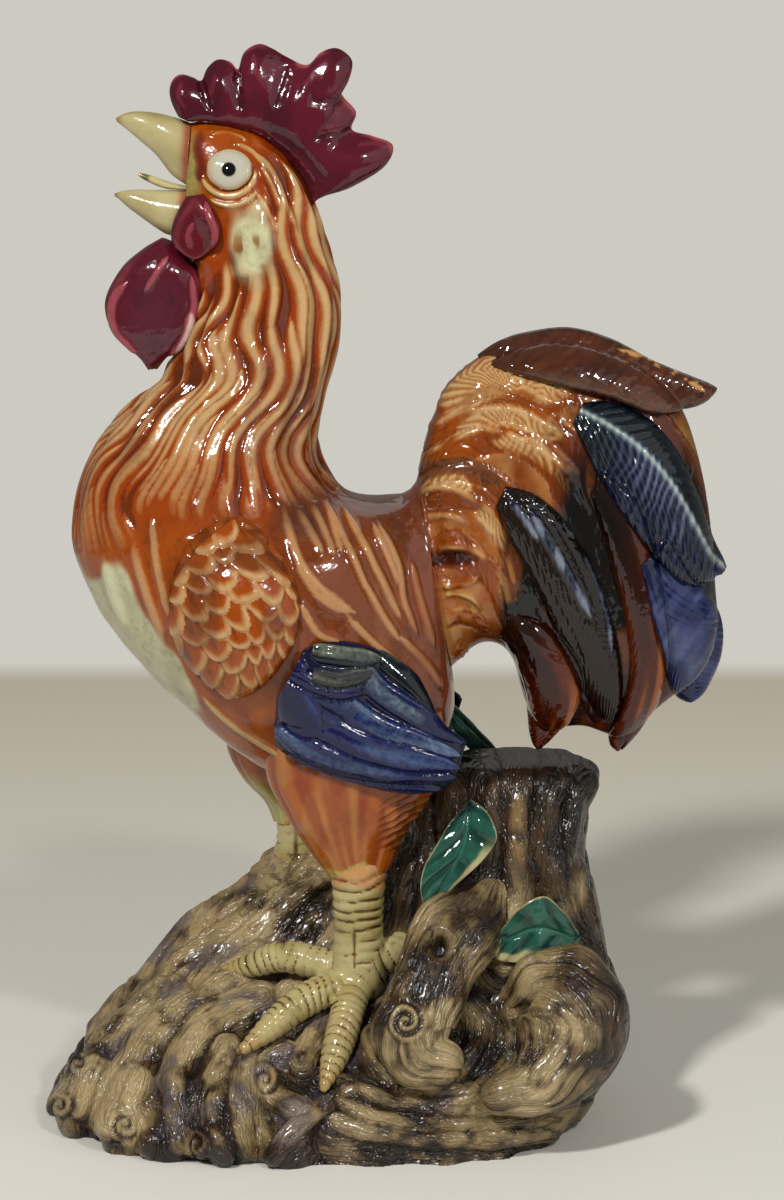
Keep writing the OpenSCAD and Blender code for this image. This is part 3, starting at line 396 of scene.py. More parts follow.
def depth(form, p):
    """How far out a form reaches at places of the side view."""
    upper, lower, half = form
    flatp = p.reshape(-1, 2)
    edge = lower - upper
    length = np.linalg.norm(edge, axis=1)
    rel = flatp[:, None] - upper[None]
    side = (edge[None, :, 0] * rel[..., 1] - edge[None, :, 1] * rel[..., 0]) / length
    a, b = side[:, :-1], side[:, 1:]
    hit = (a * b <= 0) & (a != b)
    f = np.where(hit, a / np.where(a == b, 1, a - b), 0)[..., None]
    e = upper[None, :-1] + (upper[None, 1:] - upper[None, :-1]) * f
    g = lower[None, :-1] + (lower[None, 1:] - lower[None, :-1]) * f
    d = e - g
    q = ((flatp[:, None] - (e + g) / 2) * d).sum(-1) * 2 / (d * d).sum(-1)
    w = half[None, :-1] + (half[None, 1:] - half[None, :-1]) * f[..., 0]
    reach = np.where(hit & (np.abs(q) <= 1), w * np.sqrt(np.clip(1 - q * q, 0, 1)), 0)
    return reach.max(1).reshape(p.shape[:-1])


def hashed(i, j, k, seed):
    h = (i * 374761393 + j * 668265263 + k * 2147483647 + seed * 974634777) & 0xFFFFFFFF
    h = ((h ^ (h >> 13)) * 1274126177) & 0xFFFFFFFF
    return ((h ^ (h >> 16)) & 0xFFFF) / 65535.0


def noise(p, size, seed=0):
    """Smooth lattice noise, 0 to 1; size is the width of a patch, one number or one for each axis."""
    q = np.asarray(p, float) / size
    if q.shape[-1] == 2:
        q = np.concatenate([q, np.zeros(q.shape[:-1] + (1,))], -1)
    i = np.floor(q).astype(np.int64)
    f = q - i
    f = f * f * (3 - 2 * f)
    total = 0
    for dx in (0, 1):
        for dy in (0, 1):
            for dz in (0, 1):
                w = ((f[..., 0] if dx else 1 - f[..., 0]) * (f[..., 1] if dy else 1 - f[..., 1])
                     * (f[..., 2] if dz else 1 - f[..., 2]))
                total = total + w * hashed(i[..., 0] + dx, i[..., 1] + dy, i[..., 2] + dz, seed)
    return total


def stray(p, size, seed, reach):
    """Picture steps by which a drawn mark strays, so that no line runs straight."""
    return reach * (np.stack([noise(p, size, seed), noise(p, size, seed + 1)], -1) - 0.5)


def tone(code):
    """A written sRGB colour in linear light."""
    c = np.array([int(code[i:i + 2], 16) for i in (1, 3, 5)]) / 255
    return np.where(c <= 0.04045, c / 12.92, ((c + 0.055) / 1.055) ** 2.4)


# Feathers drawn on a surface
def nearest(points, line):
    """Share along a line, distance to its left, for each place."""
    best = np.full(len(points), 1e9)
    t_at, s_at = np.zeros(len(points)), np.zeros(len(points))
    starts = running(line)
    lengths = np.diff(starts)
    for i in range(len(line) - 1):
        d = line[i + 1] - line[i]
        rel = points - line[i]
        f = np.clip((rel @ d) / max(d @ d, 1e-12), 0, 1)
        off = rel - f[:, None] * d
        dist = np.hypot(off[:, 0], off[:, 1])
        closer = dist < best
        best = np.where(closer, dist, best)
        t_at = np.where(closer, (starts[i] + f * lengths[i]) / starts[-1], t_at)
        s_at = np.where(closer, np.sign(d[0] * rel[:, 1] - d[1] * rel[:, 0]) * dist, s_at)
    return t_at, s_at, starts[-1]


def ridges(points, strokes, sharp=1.0):
    """Rounded ridges along strokes that taper to both ends, 0 to 1."""
    height = np.zeros(len(points))
    for line, width in strokes:
        low, high = line.min(0) - 2 * width, line.max(0) + 2 * width
        near = np.where(((points > low) & (points < high)).all(1))[0]
        if not len(near):
            continue
        t, s, _ = nearest(points[near], line)
        w = width * np.clip(np.sin(math.pi * np.clip(t, 0.02, 0.98)) * 1.9, 0.05, 1)
        h = np.clip(1 - (s / w) ** 2, 0, 1) ** (0.5 * sharp) * ease(w / width, 0, 0.6)
        height[near] = np.maximum(height[near], h)
    return height


def drawn(p, lines, sharp=1.0):
    """Rounded ridges along lines drawn in the picture, 0 to 1 at each place."""
    strokes = [(sampled(q, 18), w) for q, w in lines]
    return ridges(p.reshape(-1, 2), strokes, sharp).reshape(p.shape[:-1])


def plumes(points, feathers):
    """Overlapping feathers, the later ones on top. Gives each place's feather, share along and across."""
    owner = np.full(len(points), -1)
    t_at, s_at, run = np.zeros(len(points)), np.zeros(len(points)), np.zeros(len(points))
    for k, (line, width) in enumerate(feathers):
        line = sampled(line, 24)
        t, s, length = nearest(points, line)
        w = width * np.clip(1.25 * np.sqrt(np.clip(1 - t**3, 0, 1)), 0.02, 1) * ease(t, -0.25, 0.15)
        inside = (np.abs(s) < w) & (t > 0.0) & (t < 1.0)
        owner[inside], t_at[inside] = k, t[inside]
        s_at[inside], run[inside] = (s / w)[inside], (t * length)[inside]
    return owner, t_at, s_at, run


def barbs(run, s, width, gap, slope=0.9):
    """Grooves that sweep back from the shaft, 0 in a groove to 1 between."""
    return cycle((run - slope * np.abs(s) * width) / gap)


# Meshes
def normals(grid, around=True):
    if around:
        du = np.roll(grid, -1, 1) - np.roll(grid, 1, 1)
    else:
        du = np.gradient(grid, axis=1)
    dv = np.gradient(grid, axis=0)
    n = np.cross(du, dv)
    return n / np.maximum(np.linalg.norm(n, axis=-1, keepdims=True), 1e-12)


def outward(grid, n):
    """Turns the normals so that they point away from the middle line."""
    centre = grid.mean(1, keepdims=True)
    return n if ((grid - centre) * n).sum() > 0 else -n


def grid_faces(m, n, around=True, start=0):
    i, j = np.meshgrid(np.arange(m - 1), np.arange(n if around else n - 1), indexing="ij")
    a, b = start + i * n + j, start + i * n + (j + 1) % n
    return np.stack([a, b, b + n, a + n], -1).reshape(-1, 4)


def plain_mesh(name, verts, faces):
    """An object made from points and faces, with its faces turned outward."""
    mesh = bpy.data.meshes.new(name)
    mesh.from_pydata(np.asarray(verts).reshape(-1, 3).tolist(), [], [list(f) for f in faces])
    bm = bmesh.new()
    bm.from_mesh(mesh)
    bmesh.ops.recalc_face_normals(bm, faces=bm.faces)
    bm.to_mesh(mesh)
    bm.free()
    thing = bpy.data.objects.new(name, mesh)
    bpy.context.scene.collection.objects.link(thing)
    return thing


def glazed(name, nodes, slot, verts, faces, ridge, groove, relief, material, flow=None):
    """A finished piece: its mesh, the two colours of its glaze, how high each place stands and its grain."""
    piece = plain_mesh(name, verts, faces)
    mesh = piece.data
    n = len(mesh.vertices)
    fields = [("relief", "FLOAT", "value", np.broadcast_to(relief, verts.shape[:-1]))]
    for label, value in (("ridge", ridge), ("groove", groove)):
        colour = np.broadcast_to(value, (n, 3)) if np.ndim(value) == 1 else np.reshape(value, (-1, 3))
        fields.append((label, "FLOAT_COLOR", "color", np.column_stack([colour, np.ones(n)])))
    if flow is not None:
        fields.append(("flow", "FLOAT_VECTOR", "vector", flow))
    for label, kind, key, value in fields:
        mesh.attributes.new(label, kind, "POINT").data.foreach_set(key, np.asarray(value, float).ravel())
    mesh.polygons.foreach_set("use_smooth", np.ones(len(mesh.polygons), bool))
    mesh.materials.append(material)
    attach(piece, "root")
    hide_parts(*nodes)
    return piece


def closed_grid(grid, *fields):
    """A ring grid with a point closing each end: its points, faces and fields."""
    m, n = grid.shape[:2]
    verts = np.concatenate([grid.reshape(-1, 3), grid[0].mean(0)[None], grid[-1].mean(0)[None]])
    j = np.arange(n)
    faces = grid_faces(m, n).tolist()
    faces += ([[m * n, (k + 1) % n, k] for k in j]
              + [[m * n + 1, (m - 1) * n + k, (m - 1) * n + (k + 1) % n] for k in j])
    spread = []
    for f in fields:
        f = np.asarray(f)
        flatf = f.reshape((m * n,) + f.shape[2:])
        spread.append(np.concatenate([flatf, f[0].mean(0)[None], f[-1].mean(0)[None]]))
    return [verts, faces] + spread


def even(table, shares, width, rings):
    """Rings at even steps along a form, with their row numbers and running lengths."""
    fine = bands(table, shares, width, 1500)
    step = (np.linalg.norm(np.diff(fine[0], axis=0), axis=1)
            + np.linalg.norm(np.diff(fine[1], axis=0), axis=1)) / 2
    run = np.concatenate([[0], np.cumsum(step)])
    pick = np.linspace(0, run[-1], rings)
    form = tuple(np.stack([np.interp(pick, run, v[:, k]) for k in range(v.shape[1])], -1) if v.ndim > 1
                 else np.interp(pick, run, v) for v in fine)
    return form, np.interp(pick, run, np.linspace(0, len(table) - 1, 1500)), pick


# Glazes
def node(tree, kind, at=(0, 0), settings={}, stops=(), **links):
    """Adds a node, sets what it is given and joins its named inputs to other outputs or values.

    The stops are the places and colours of a colour ramp. An input called i and a number is found by its number."""
    made = tree.nodes.new(kind)
    made.location = at
    for key, value in settings.items():
        setattr(made, key, value)
    for key, value in links.items():
        numbered = key[0] == "i" and key[1:].isdigit()
        socket = made.inputs[int(key[1:]) if numbered else key.replace("_", " ")]
        if isinstance(value, bpy.types.NodeSocket):
            tree.links.new(value, socket)
        else:
            socket.default_value = value
    for k, (place, colour) in enumerate([*stops[:1], *stops[-1:], *stops[1:-1]]):
        stop = made.color_ramp.elements[k] if k < 2 else made.color_ramp.elements.new(place)
        stop.position, stop.color = place, (*colour, 1)
    return made


grey = lambda v: (v, v, v)


def glaze(name, rough, low, high, break_up, mottle_size, mottle, pool, ripple, deep=0.45, depth=1.0,
          tint=(1, 1, 1), fibre=0.0):
    """A fired glaze: thin and pale where the clay stands high, pooled and dark in the hollows and along a grain."""
    made = bpy.data.materials.new(name)
    made.use_nodes = True
    tree = made.node_tree
    tree.nodes.clear()
    at = node(tree, "ShaderNodeTexCoord", (-1500, 0)).outputs["Object"]
    ridge = node(tree, "ShaderNodeAttribute", (-1100, 300), {"attribute_name": "ridge"}).outputs["Color"]
    groove = node(tree, "ShaderNodeAttribute", (-1100, 100), {"attribute_name": "groove"}).outputs["Color"]
    relief = node(tree, "ShaderNodeAttribute", (-1300, -100), {"attribute_name": "relief"}).outputs["Fac"]
    fine = node(tree, "ShaderNodeTexNoise", (-1300, -300), Vector=at, Scale=1 / (2.2 * mm), Detail=4.0,
                Roughness=0.6)
    broken = node(tree, "ShaderNodeMath", (-1100, -200), {"operation": "MULTIPLY_ADD"}, i0=fine.outputs["Fac"],
                  i1=break_up, i2=relief)
    shifted = node(tree, "ShaderNodeMath", (-950, -200), {"operation": "SUBTRACT"}, i0=broken.outputs[0],
                   i1=break_up / 2)
    waves = node(tree, "ShaderNodeTexNoise", (-500, -1200), Vector=at, Scale=1 / (4 * mm), Detail=2.0,
                 Roughness=0.5)
    height = waves.outputs["Fac"]
    if fibre:
        flow = node(tree, "ShaderNodeAttribute", (-1300, -1400), {"attribute_name": "flow"}).outputs["Vector"]
        strand = node(tree, "ShaderNodeTexNoise", (-1100, -1400), Vector=flow, Scale=1.9, Detail=2.0,
                      Roughness=0.5)
        cut = node(tree, "ShaderNodeValToRGB", (-900, -1400),
                   stops=[(0.4, grey(0)), (0.49, grey(1)), (0.58, grey(0))],
                   Fac=strand.outputs["Fac"]).outputs["Color"]
        shifted = node(tree, "ShaderNodeMath", (-700, -1300), {"operation": "MULTIPLY_ADD"}, i0=cut, i1=-fibre,
                       i2=shifted.outputs[0])
        height = node(tree, "ShaderNodeMath", (-500, -1400), {"operation": "MULTIPLY_ADD"}, i0=cut, i1=-0.6,
                      i2=height).outputs[0]
    share = node(tree, "ShaderNodeValToRGB", (-800, -200), stops=[(low, grey(0)), (high, grey(1))],
                 Fac=shifted.outputs[0]).outputs["Color"]
    colour = node(tree, "ShaderNodeMix", (-500, 200), {"data_type": "RGBA"}, Factor=share, i6=groove,
                  i7=ridge).outputs[2]
    patch = node(tree, "ShaderNodeTexNoise", (-800, -500), Vector=at, Scale=1 / mottle_size, Detail=5.0,
                 Roughness=0.62)
    speck = node(tree, "ShaderNodeTexNoise", (-800, -800), Vector=at, Scale=1 / (0.9 * mm), Detail=3.0,
                 Roughness=0.7)
    shades = [(patch.outputs["Fac"], 0.3, 0.5, pool, -500), (speck.outputs["Fac"], 0.35, 0.65, mottle, -800),
              (shifted.outputs[0], 0.02, 0.2, deep, -1000)]
    darker = [node(tree, "ShaderNodeValToRGB", (-500, y), stops=[(start, grey(1 - loss)), (end, grey(1.0))],
                   Fac=factor).outputs["Color"] for factor, start, end, loss, y in shades]
    for k, factor in enumerate([*darker, (*tint, 1)]):
        colour = node(tree, "ShaderNodeMix", (200 * k - 300, 200),
                      {"data_type": "RGBA", "blend_type": "MULTIPLY"},
                      Factor=1.0, i6=colour, i7=factor).outputs[2]
    colour = node(tree, "ShaderNodeGamma", (300, 200), Color=colour, Gamma=depth).outputs[0]
    bump = node(tree, "ShaderNodeBump", (-100, -700), Height=height, Strength=ripple, Distance=1.0 * mm)
    shader = node(tree, "ShaderNodeBsdfPrincipled", (500, 200), Base_Color=colour,
                  Normal=bump.outputs["Normal"], Roughness=rough, IOR=1.52)
    node(tree, "ShaderNodeOutputMaterial", (800, 200), Surface=shader.outputs[0])
    return made


# Lead glaze over iron stain on slip-cast clay: glassy, amber where it pools in the hollows, clay-cream on the ridges
amber = glaze("amber_lead_glaze", rough=0.1, low=0.4, high=0.98, break_up=0.3, mottle_size=14 * mm, mottle=0.06,
              pool=0.2, ripple=0.2, depth=1.3, tint=(1.04, 1.12, 0.8))
# Manganese and copper red glaze, brushed on thick: deep and even, thin and pinkish where it runs off the rims
burgundy = glaze("burgundy_manganese_glaze", rough=0.12, low=0.35, high=0.95, break_up=0.25, mottle_size=9 * mm,
                 mottle=0.1, pool=0.3, ripple=0.3, depth=1.06)
# Clear glaze over cream slip on smooth clay: a warm cream with an olive tinge, shaded towards the tips
horn = glaze("horn_slip_glaze", rough=0.12, low=0.2, high=0.8, break_up=0.3, mottle_size=12 * mm, mottle=0.05,
             pool=0.06, ripple=0.2)
# Tin-white glaze with a painted pupil: flat white with a wet shine
white = glaze("tin_white_glaze", rough=0.06, low=0.4, high=0.6, break_up=0.05, mottle_size=12 * mm, mottle=0.03,
              pool=0.05, ripple=0.12)
# Cobalt glaze that ran in the kiln: navy pools between the barbs, grey-blue where it thins on them
cobalt = glaze("cobalt_glaze", rough=0.07, low=0.3, high=1.0, break_up=0.5, mottle_size=6 * mm, mottle=0.22,
               pool=0.3, ripple=0.3, depth=1.15)
# Cream-yellow glaze over carved rings: brown stain stays caught in the cuts
legs_glaze = glaze("cream_leg_glaze", rough=0.08, low=0.35, high=0.75, break_up=0.2, mottle_size=8 * mm,
                   mottle=0.05, pool=0.16, ripple=0.2, depth=1.3)
# Manganese glaze, run in streaks: nearly black in the hollows, red-brown where it is thin
brown = glaze("brown_manganese_glaze", rough=0.07, low=0.3, high=0.95, break_up=0.4, mottle_size=9 * mm,
              mottle=0.1, pool=0.3, ripple=0.3, depth=1.2, tint=(0.95, 0.82, 0.6))
# Copper green glaze on rolled leaves: dark along the veins, worn through to cream along the edges
leaf_green = glaze("copper_green_glaze", rough=0.06, low=0.3, high=0.9, break_up=0.3, mottle_size=8 * mm,
                   mottle=0.08, pool=0.25, ripple=0.25, depth=1.1)
# Stain wiped off modelled bark under a thin semi-gloss glaze: tan ridges, near-black grain; drawn coarser than real
bark = glaze("wiped_bark_glaze", rough=0.24, low=0.31, high=0.8, break_up=0.5, mottle_size=8 * mm, mottle=0.16,
             pool=0.35, ripple=0.6, depth=1.1, tint=(1, 0.97, 0.9), fibre=0.12)


def layered(shape, base, layers):
    """Glaze colours painted in order: each layer is a mask with its ridge and groove colours."""
    ridge = np.broadcast_to(tone(base[0]), shape + (3,)).copy()
    groove = np.broadcast_to(tone(base[1]), shape + (3,)).copy()
    for mask, high, low in layers:
        mask = np.clip(np.broadcast_to(mask, shape), 0, 1)
        if high:
            ridge = blend(ridge, tone(high), mask)
        if low:
            groove = blend(groove, tone(low), mask)
    return ridge, groove


def oval(p, centre, radii, soft=0.25):
    """One inside an oval of the picture, nothing outside it, and soft between."""
    d = np.hypot((p[..., 0] - centre[0]) / radii[0], (p[..., 1] - centre[1]) / radii[1])
    return 1 - ease(d, 1 - soft, 1 + soft)


# Body
def hackles(grid, angle, run, around):
    """Long neck feathers in shingled rows: height and how far each place stands up, both 0 to 1."""
    first, last, rows, length = 21 * mm, 128 * mm, 5, 66 * mm
    height, relief = np.zeros(grid.shape[:2]), np.zeros(grid.shape[:2])
    for r, begin in enumerate(np.linspace(first, last, rows)):
        girth = np.interp(begin + 0.4 * length, run, around)
        count = int(round(girth / (6.3 * mm)))
        gap = 2 * math.pi / count
        sway = (3.4 * mm * np.sin(2 * math.pi * run / (62 * mm))[:, None]
                + 1.7 * mm * np.sin(2 * math.pi * run[:, None] / (29 * mm) + 3 * angle))
        bent = angle + sway / (around[:, None] / (2 * math.pi)) + 0.37 * r
        k0 = np.floor(bent / gap)
        for side in (0, 1):
            k = (k0 + side).astype(np.int64) % count
            lag, slip = hashed(k, k * 0 + r, k * 0, 3), hashed(k, k * 0 + r, k * 0, 5)
            t = (run[:, None] - begin + (lag - 0.5) * 26 * mm) / (length * (0.7 + 0.6 * slip))
            off = (bent - (k0 + side) * gap) / gap + (slip - 0.5) * 0.3
            width = 0.6 * np.clip(1 - np.clip(t, 0, 1) ** 2, 0, 1) * ease(t, 0, 0.3)
            q = np.abs(off) / np.maximum(width, 0.02)
            crest = np.clip(1.25 - 1.25 * q, 0, 1) * ((t > 0) & (t < 1)) * ease(width, 0, 0.25)
            h = np.sqrt(np.clip(1 - q * q, 0, 1)) * ((t > 0) & (t < 1)) * (0.7 + 0.5 * t) * ease(width, 0, 0.3)
            higher = h > height
            relief = np.where(higher, crest, relief)
            height = np.maximum(height, h)
    return height, relief


def make_body():
    """Breast, back, neck and head in one skin, with its hackles, strands, lids and bib."""
    form, row, run = even(body_px, body_w_shares, body_w, 330)
    sides = 300
    grid = ring_grid(form, sides)
    n = outward(grid, normals(grid))
    p = side_view(grid)
    px, py = p[..., 0], p[..., 1]
    angle = np.broadcast_to(angles(sides), grid.shape[:2])
    around = np.linalg.norm(np.diff(grid, axis=1, append=grid[:, :1]), axis=-1).sum(1)
    soft = noise(grid, 9 * mm, 1)
    ragged = noise(grid, (5 * mm, 5 * mm, 14 * mm), 2)
    side = ease(np.abs(grid[..., 1]), 2 * mm, 6 * mm)
    ear = oval(p + (np.stack([soft, noise(grid, 5 * mm, 8)], -1) - 0.5) * (16, 30), *ear_px,
               0.3) * ease(row[:, None], 1.5, 2.5)
    ends = hackle_end_px + 40 * (noise(grid, 7 * mm, 9) - 0.5) + 0.15 * (px - 200)
    neck = (ease(row, 3.4, 4.8)[:, None] * (1 - 0.9 * ear)
            * (1 - ease(py, ends - 40, ends + 12) * ease(px, *breast_px)))
    fade = 1 - ease(row, 12.4, 13.8)[:, None]
    over, crest = (v * neck * fade for v in hackles(grid, angle, run, around))
    crest = crest * (1 - 0.28 * ease(py, *neck_worn_px))
    plain = 1 - np.clip(neck * fade, 0, 1)
    strands = drawn(p, flank_strands, 2.2) * side * plain * ease(25 - row[:, None], 0, 0.8)
    head = drawn(p, head_strands, 2.0) * side * (row[:, None] > 0.3)
    lid = drawn(p, eye_lids) * side
    lip = drawn(p, belly_lip) * side
    rear, *top, foot = throat_px
    throat = ease(rear - px, 0, 14) * ease(py, *top) * ease(foot - py, 0, 16)
    inset = np.interp(row, np.arange(len(hackle_shares)), hackle_shares, right=0)[:, None] * wall
    rise = (1.05 * mm * over - 0.75 * mm * neck * fade + 0.95 * mm * strands + 0.7 * mm * head + 1.1 * mm * lid
            + 0.9 * mm * lip + 2.4 * mm * throat + 0.6 * mm * (noise(grid, 7 * mm, 4) - 0.5)
            - inset * (0.5 - 0.5 * np.cos(14 * angle)))
    grid = grid + n * rise[..., None]
    white_edge = np.interp(py, *bib_edge_px)
    bib = ease(white_edge - px + (ragged - 0.5) * 14, -3, 5) * ease(py + (ragged - 0.5) * 44, 546, 560)
    tan = ease(noise(grid, (4 * mm, 4 * mm, 11 * mm), 6), 0.35, 0.8)
    mauve = ease(noise(grid, 13 * mm, 10), 0.35, 0.65)
    back = ease(px + 0.35 * (py - 500), 262, 300) * ease(py, *saddle_px)
    layers = [
        (mauve * ease(py, *neck_mauve_px), "#c39c8a", "#96502a"),
        (ease(py, 470, 540) * ease(220 - px, 0, 40), "#c2947c", "#a85818"),
        (back, "#bf907a", "#8a4c2c"),
        (back * mauve * ease(560 - py, 0, 40), "#a07868", "#704034"),
        (ease(py - 0.25 * px, 520, 560) * ease(px, 280, 320), "#bd8c70", "#9a5020"),
        (ease(py - 0.3 * px, 585, 610), "#c0855c", "#a85c22"),
        (ease(px, 408, 425) * ease(py, 520, 560), "#bb8a6c", "#8f4c24"),
        (bib, "#d0c8c6", "#cac0bc"),
        (1 - ease(row, 2.2, 3.6)[:, None], "#c0906c", "#a8581a"),
        (lid, "#ccaa90", "#b8743c"),
        (lip, "#ccaa90", "#a8602c"),
        (ear, "#dcd4d0", "#d2c8c0"),
        (ear * ease(noise(grid, 2.6 * mm, 12), 0.62, 0.75) * ease(py, 215, 240), "#b08a68", "#a06a44"),
        (oval(p, *beak_root_px, 0.4) * side, "#bca890", "#a8946c"),
        (drawn(p, beak_shadow) * side, "#8d4634", "#7a2f24"),
        (ease(px - 0.05 * (py - 560), *rump_px) * ease(py, 480, 520), "#a8705a", "#8a5040"),
    ]
    ridge, groove = layered(px.shape, ("#cba78e", "#a34c0c"), layers)
    detail = np.maximum.reduce([crest, 0.95 * strands, 0.8 * head, lid, lip])
    smooth_part = np.clip(1 - 1.6 * np.maximum.reduce([neck * fade, strands, head, lid, lip]), 0, 1)
    relief = detail + (0.16 + 0.32 * tan - detail) * smooth_part + 0.12 * plain * (1 - smooth_part)
    glazed("body", ["body_shell"], "amber_glaze", *closed_grid(grid, ridge, groove, relief), amber)


# Relief pieces that lie on a form
def blade(name, nodes, slot, table, form, thick, out, dress, material, least=0.0, below=(), size=(150, 64),
          right=False, edge=0.35):
    """A relief piece that lies on a form; edge is the share of the edge's thickness that its rim keeps."""
    m, half = size
    rows = sampled(table, m)
    upper, lower, share = flat(rows[:, 0:2], out), flat(rows[:, 2:4], out), rows[:, 4]
    a = math.pi * np.arange(half + 1) / half
    c, h = (upper + lower) / 2, (upper - lower) / 2
    p = c[:, None] + h[:, None] * np.cos(a)[None, :, None]
    seat = np.maximum(least, depth(form, p)) + seat_gap
    for b in below:
        lift = depth(b, p)
        seat = seat + np.where(lift > 0, lift + edge_t + 2 * seat_gap, 0)
    seat = smoothed(seat, 2)
    t = np.broadcast_to(np.linspace(0, 1, m)[:, None], p.shape[:2])
    s = np.broadcast_to(np.cos(a), p.shape[:2])
    rim = edge + (1 - edge) * ease(np.sin(a), 0.0, 0.95) * ease(np.minimum(t, 1 - t), 0.0, 0.1)
    top = np.stack([p[..., 0], -seat - edge_t * rim - (share * thick)[:, None] * np.sin(a), p[..., 1]], -1)
    span = np.linalg.norm(h, axis=1)[:, None]
    length = np.linalg.norm(np.diff(c, axis=0), axis=1).sum()
    rise, relief, ridge, groove = dress(side_view(top), t, s, span, length, top)
    n = outward_side(normals(top, around=False))
    top = top + n * (rise * np.sin(a) ** 0.35)[..., None]
    back = np.stack([p[..., 0], -seat, p[..., 1]], -1)[:, ::-1]
    grid = np.concatenate([top, back], 1)
    if right:
        grid = grid * np.array([1, -1, 1])
    both = [np.concatenate([v, v[:, ::-1]], 1) for v in (ridge, groove, relief)]
    return glazed(name, nodes, slot, *closed_grid(grid, *both), material)


def outward_side(n):
    """Turns the normals of a near-side piece towards the eye."""
    return n if n[..., 1].mean() < 0 else -n


def smoothed(v, times):
    """A field of heights, eased into its neighbours so many times."""
    for _ in range(times):
        w = np.pad(v, 1, mode="edge")
        v = (w[:-2, 1:-1] + w[2:, 1:-1] + w[1:-1, :-2] + w[1:-1, 2:] + 4 * v) / 8
    return v


smooth_body = even(body_px, body_w_shares, body_w, 80)[0]
tail_seat_w = smooth_body[2][-1]
(tail_top, tail_foot, tail_half), tail_row = even(tail_px, tail_w_shares, tail_w, 90)[:2]
# The tail begins as wide as the body's last ring and narrows to its own width
tail_swell = np.clip(1 - tail_row / 12 * 17 / 3.2, 0, 1)
smooth_tail = (tail_top, tail_foot, tail_half + (tail_seat_w - tail_half) * tail_swell)


def table_form(table, thick, out, count=60):
    """A form from a table that holds its thickness as a share in the last column."""
    rows = sampled(table, count)
    return flat(rows[:, 0:2], out), flat(rows[:, 2:4], out), rows[:, 4] * thick


# Head
def make_comb():
    """The comb: its ridge line read in the picture, swollen lobes, dents between them and a sunk foot."""
    fine = sampled(comb_px, 900)
    run = running(fine[:, 0:2])
    pick = np.interp(np.linspace(0, run[-1], 330), run, np.arange(900))
    rows = np.stack([np.interp(pick, np.arange(900), fine[:, k]) for k in range(4)], -1)
    edge, foot = flat(rows[:, 0:2]), flat(rows[:, 2:4])
    sides, head_r = 84, 0.27 * body_w / 2
    a = angles(sides)
    c, h = (edge + foot) / 2, (edge - foot) / 2
    down = -h / np.linalg.norm(h, axis=1)[:, None]
    y = comb_t / 2 * np.sin(a) * (0.72 - 0.28 * np.cos(a))
    low = np.maximum(0, -np.cos(a)) * (head_r - np.sqrt(head_r**2 - y**2) + 0.9 * mm) - seat_gap
    p = c[:, None] + h[:, None] * np.cos(a)[None, :, None] + down[:, None] * low[None, :, None]
    grid = np.stack([p[..., 0], np.broadcast_to(-y, p.shape[:2]), p[..., 1]], -1)
    n = outward(grid, normals(grid))
    v = side_view(grid)
    swell = 1.2 * sum(h0 * np.exp(-((v[..., 0] - x) ** 2 / (2 * rx**2) + (v[..., 1] - z) ** 2 / (2 * rz**2)))
                      for x, z, rx, rz, h0 in comb_swells_px)
    dent = drawn(v, comb_dents, 3.0)
    rise = 0.8 * mm * swell - 0.7 * mm * dent + 0.5 * mm * (noise(grid, 9 * mm, 11) - 0.5)
    flank = np.abs(np.sin(a))[None] ** 1.1
    grid = grid + n * (rise * flank)[..., None]
    rim = ease(np.cos(a), 0.84, 0.99)[None] * ease(noise(grid, 7 * mm, 13), 0.3, 0.6)
    # Painted highlights: pale strokes along lobes and creases; with the rim, where the glaze runs thin, they make
    # the glaze pale.
    crease_painted_highlight = drawn(v, comb_painted_highlights)
    thin = np.clip(0.8 * rim + 0.4 * crease_painted_highlight, 0, 1)
    ridge, groove = layered(v.shape[:2], ("#93404c", "#5e1426"), [
        (ease(noise(grid, 10 * mm, 12), 0.4, 0.7), "#8a3444", "#4c1020"), (dent * 0.8, "#5a1424", "#430c1b"),
        (rim, "#a85c5c", "#7a2634")])
    glazed("lobed_comb", ["comb"], "burgundy_glaze", *closed_grid(grid, ridge, groove, 0.3 + 0.65 * thin),
           burgundy)


def make_beak(name, node_name, table, upper):
    rings, sides = 90, 56
    grid = ring_grid(bands(table, beak_w_shares, beak_w, rings), sides)
    n = outward(grid, normals(grid))
    t = np.linspace(0, 1, rings)[:, None] * np.ones(sides)
    a = angles(sides)[None] * np.ones((rings, 1))
    top_line = ease(np.cos(a), 0.55, 1.0) if upper else ease(-np.cos(a), 0.7, 1.0)
    lip = ease(-np.cos(a) if upper else np.cos(a), 0.5, 0.9)
    grid = grid + n * (0.3 * mm * (noise(grid, 5 * mm, 21) - 0.5) + 0.35 * mm * lip * (1 - t))[..., None]
    ridge, groove = layered(t.shape, ("#b9ac7c", "#a69868"), [
        (top_line * ease(t, 0.1, 0.5), "#a49462", "#8a7c4c"), (ease(t, 0.82, 1), "#a08c50", "#6c5a2c"),
        (ease(0.16 - t, 0, 0.12), "#a86848", "#8a4430")])
    relief = 0.3 + ease(noise(grid, 7 * mm, 22), 0.25, 0.7) * 0.4 + 0.3 * lip
    glazed(name, [node_name], "horn_glaze", *closed_grid(grid, ridge, groove, relief), horn)


def make_tongue():
    grid = ring_grid(bands(tongue_px, tongue_w_shares, tongue_w, 40), 28)
    ridge, groove = layered(grid.shape[:2], ("#c2b47c", "#8c7c48"), [])
    glazed("cream_tongue", ["tongue"], "horn_glaze",
           *closed_grid(grid, ridge, groove, ease(noise(grid, 3 * mm, 25), 0.3, 0.7)), horn)


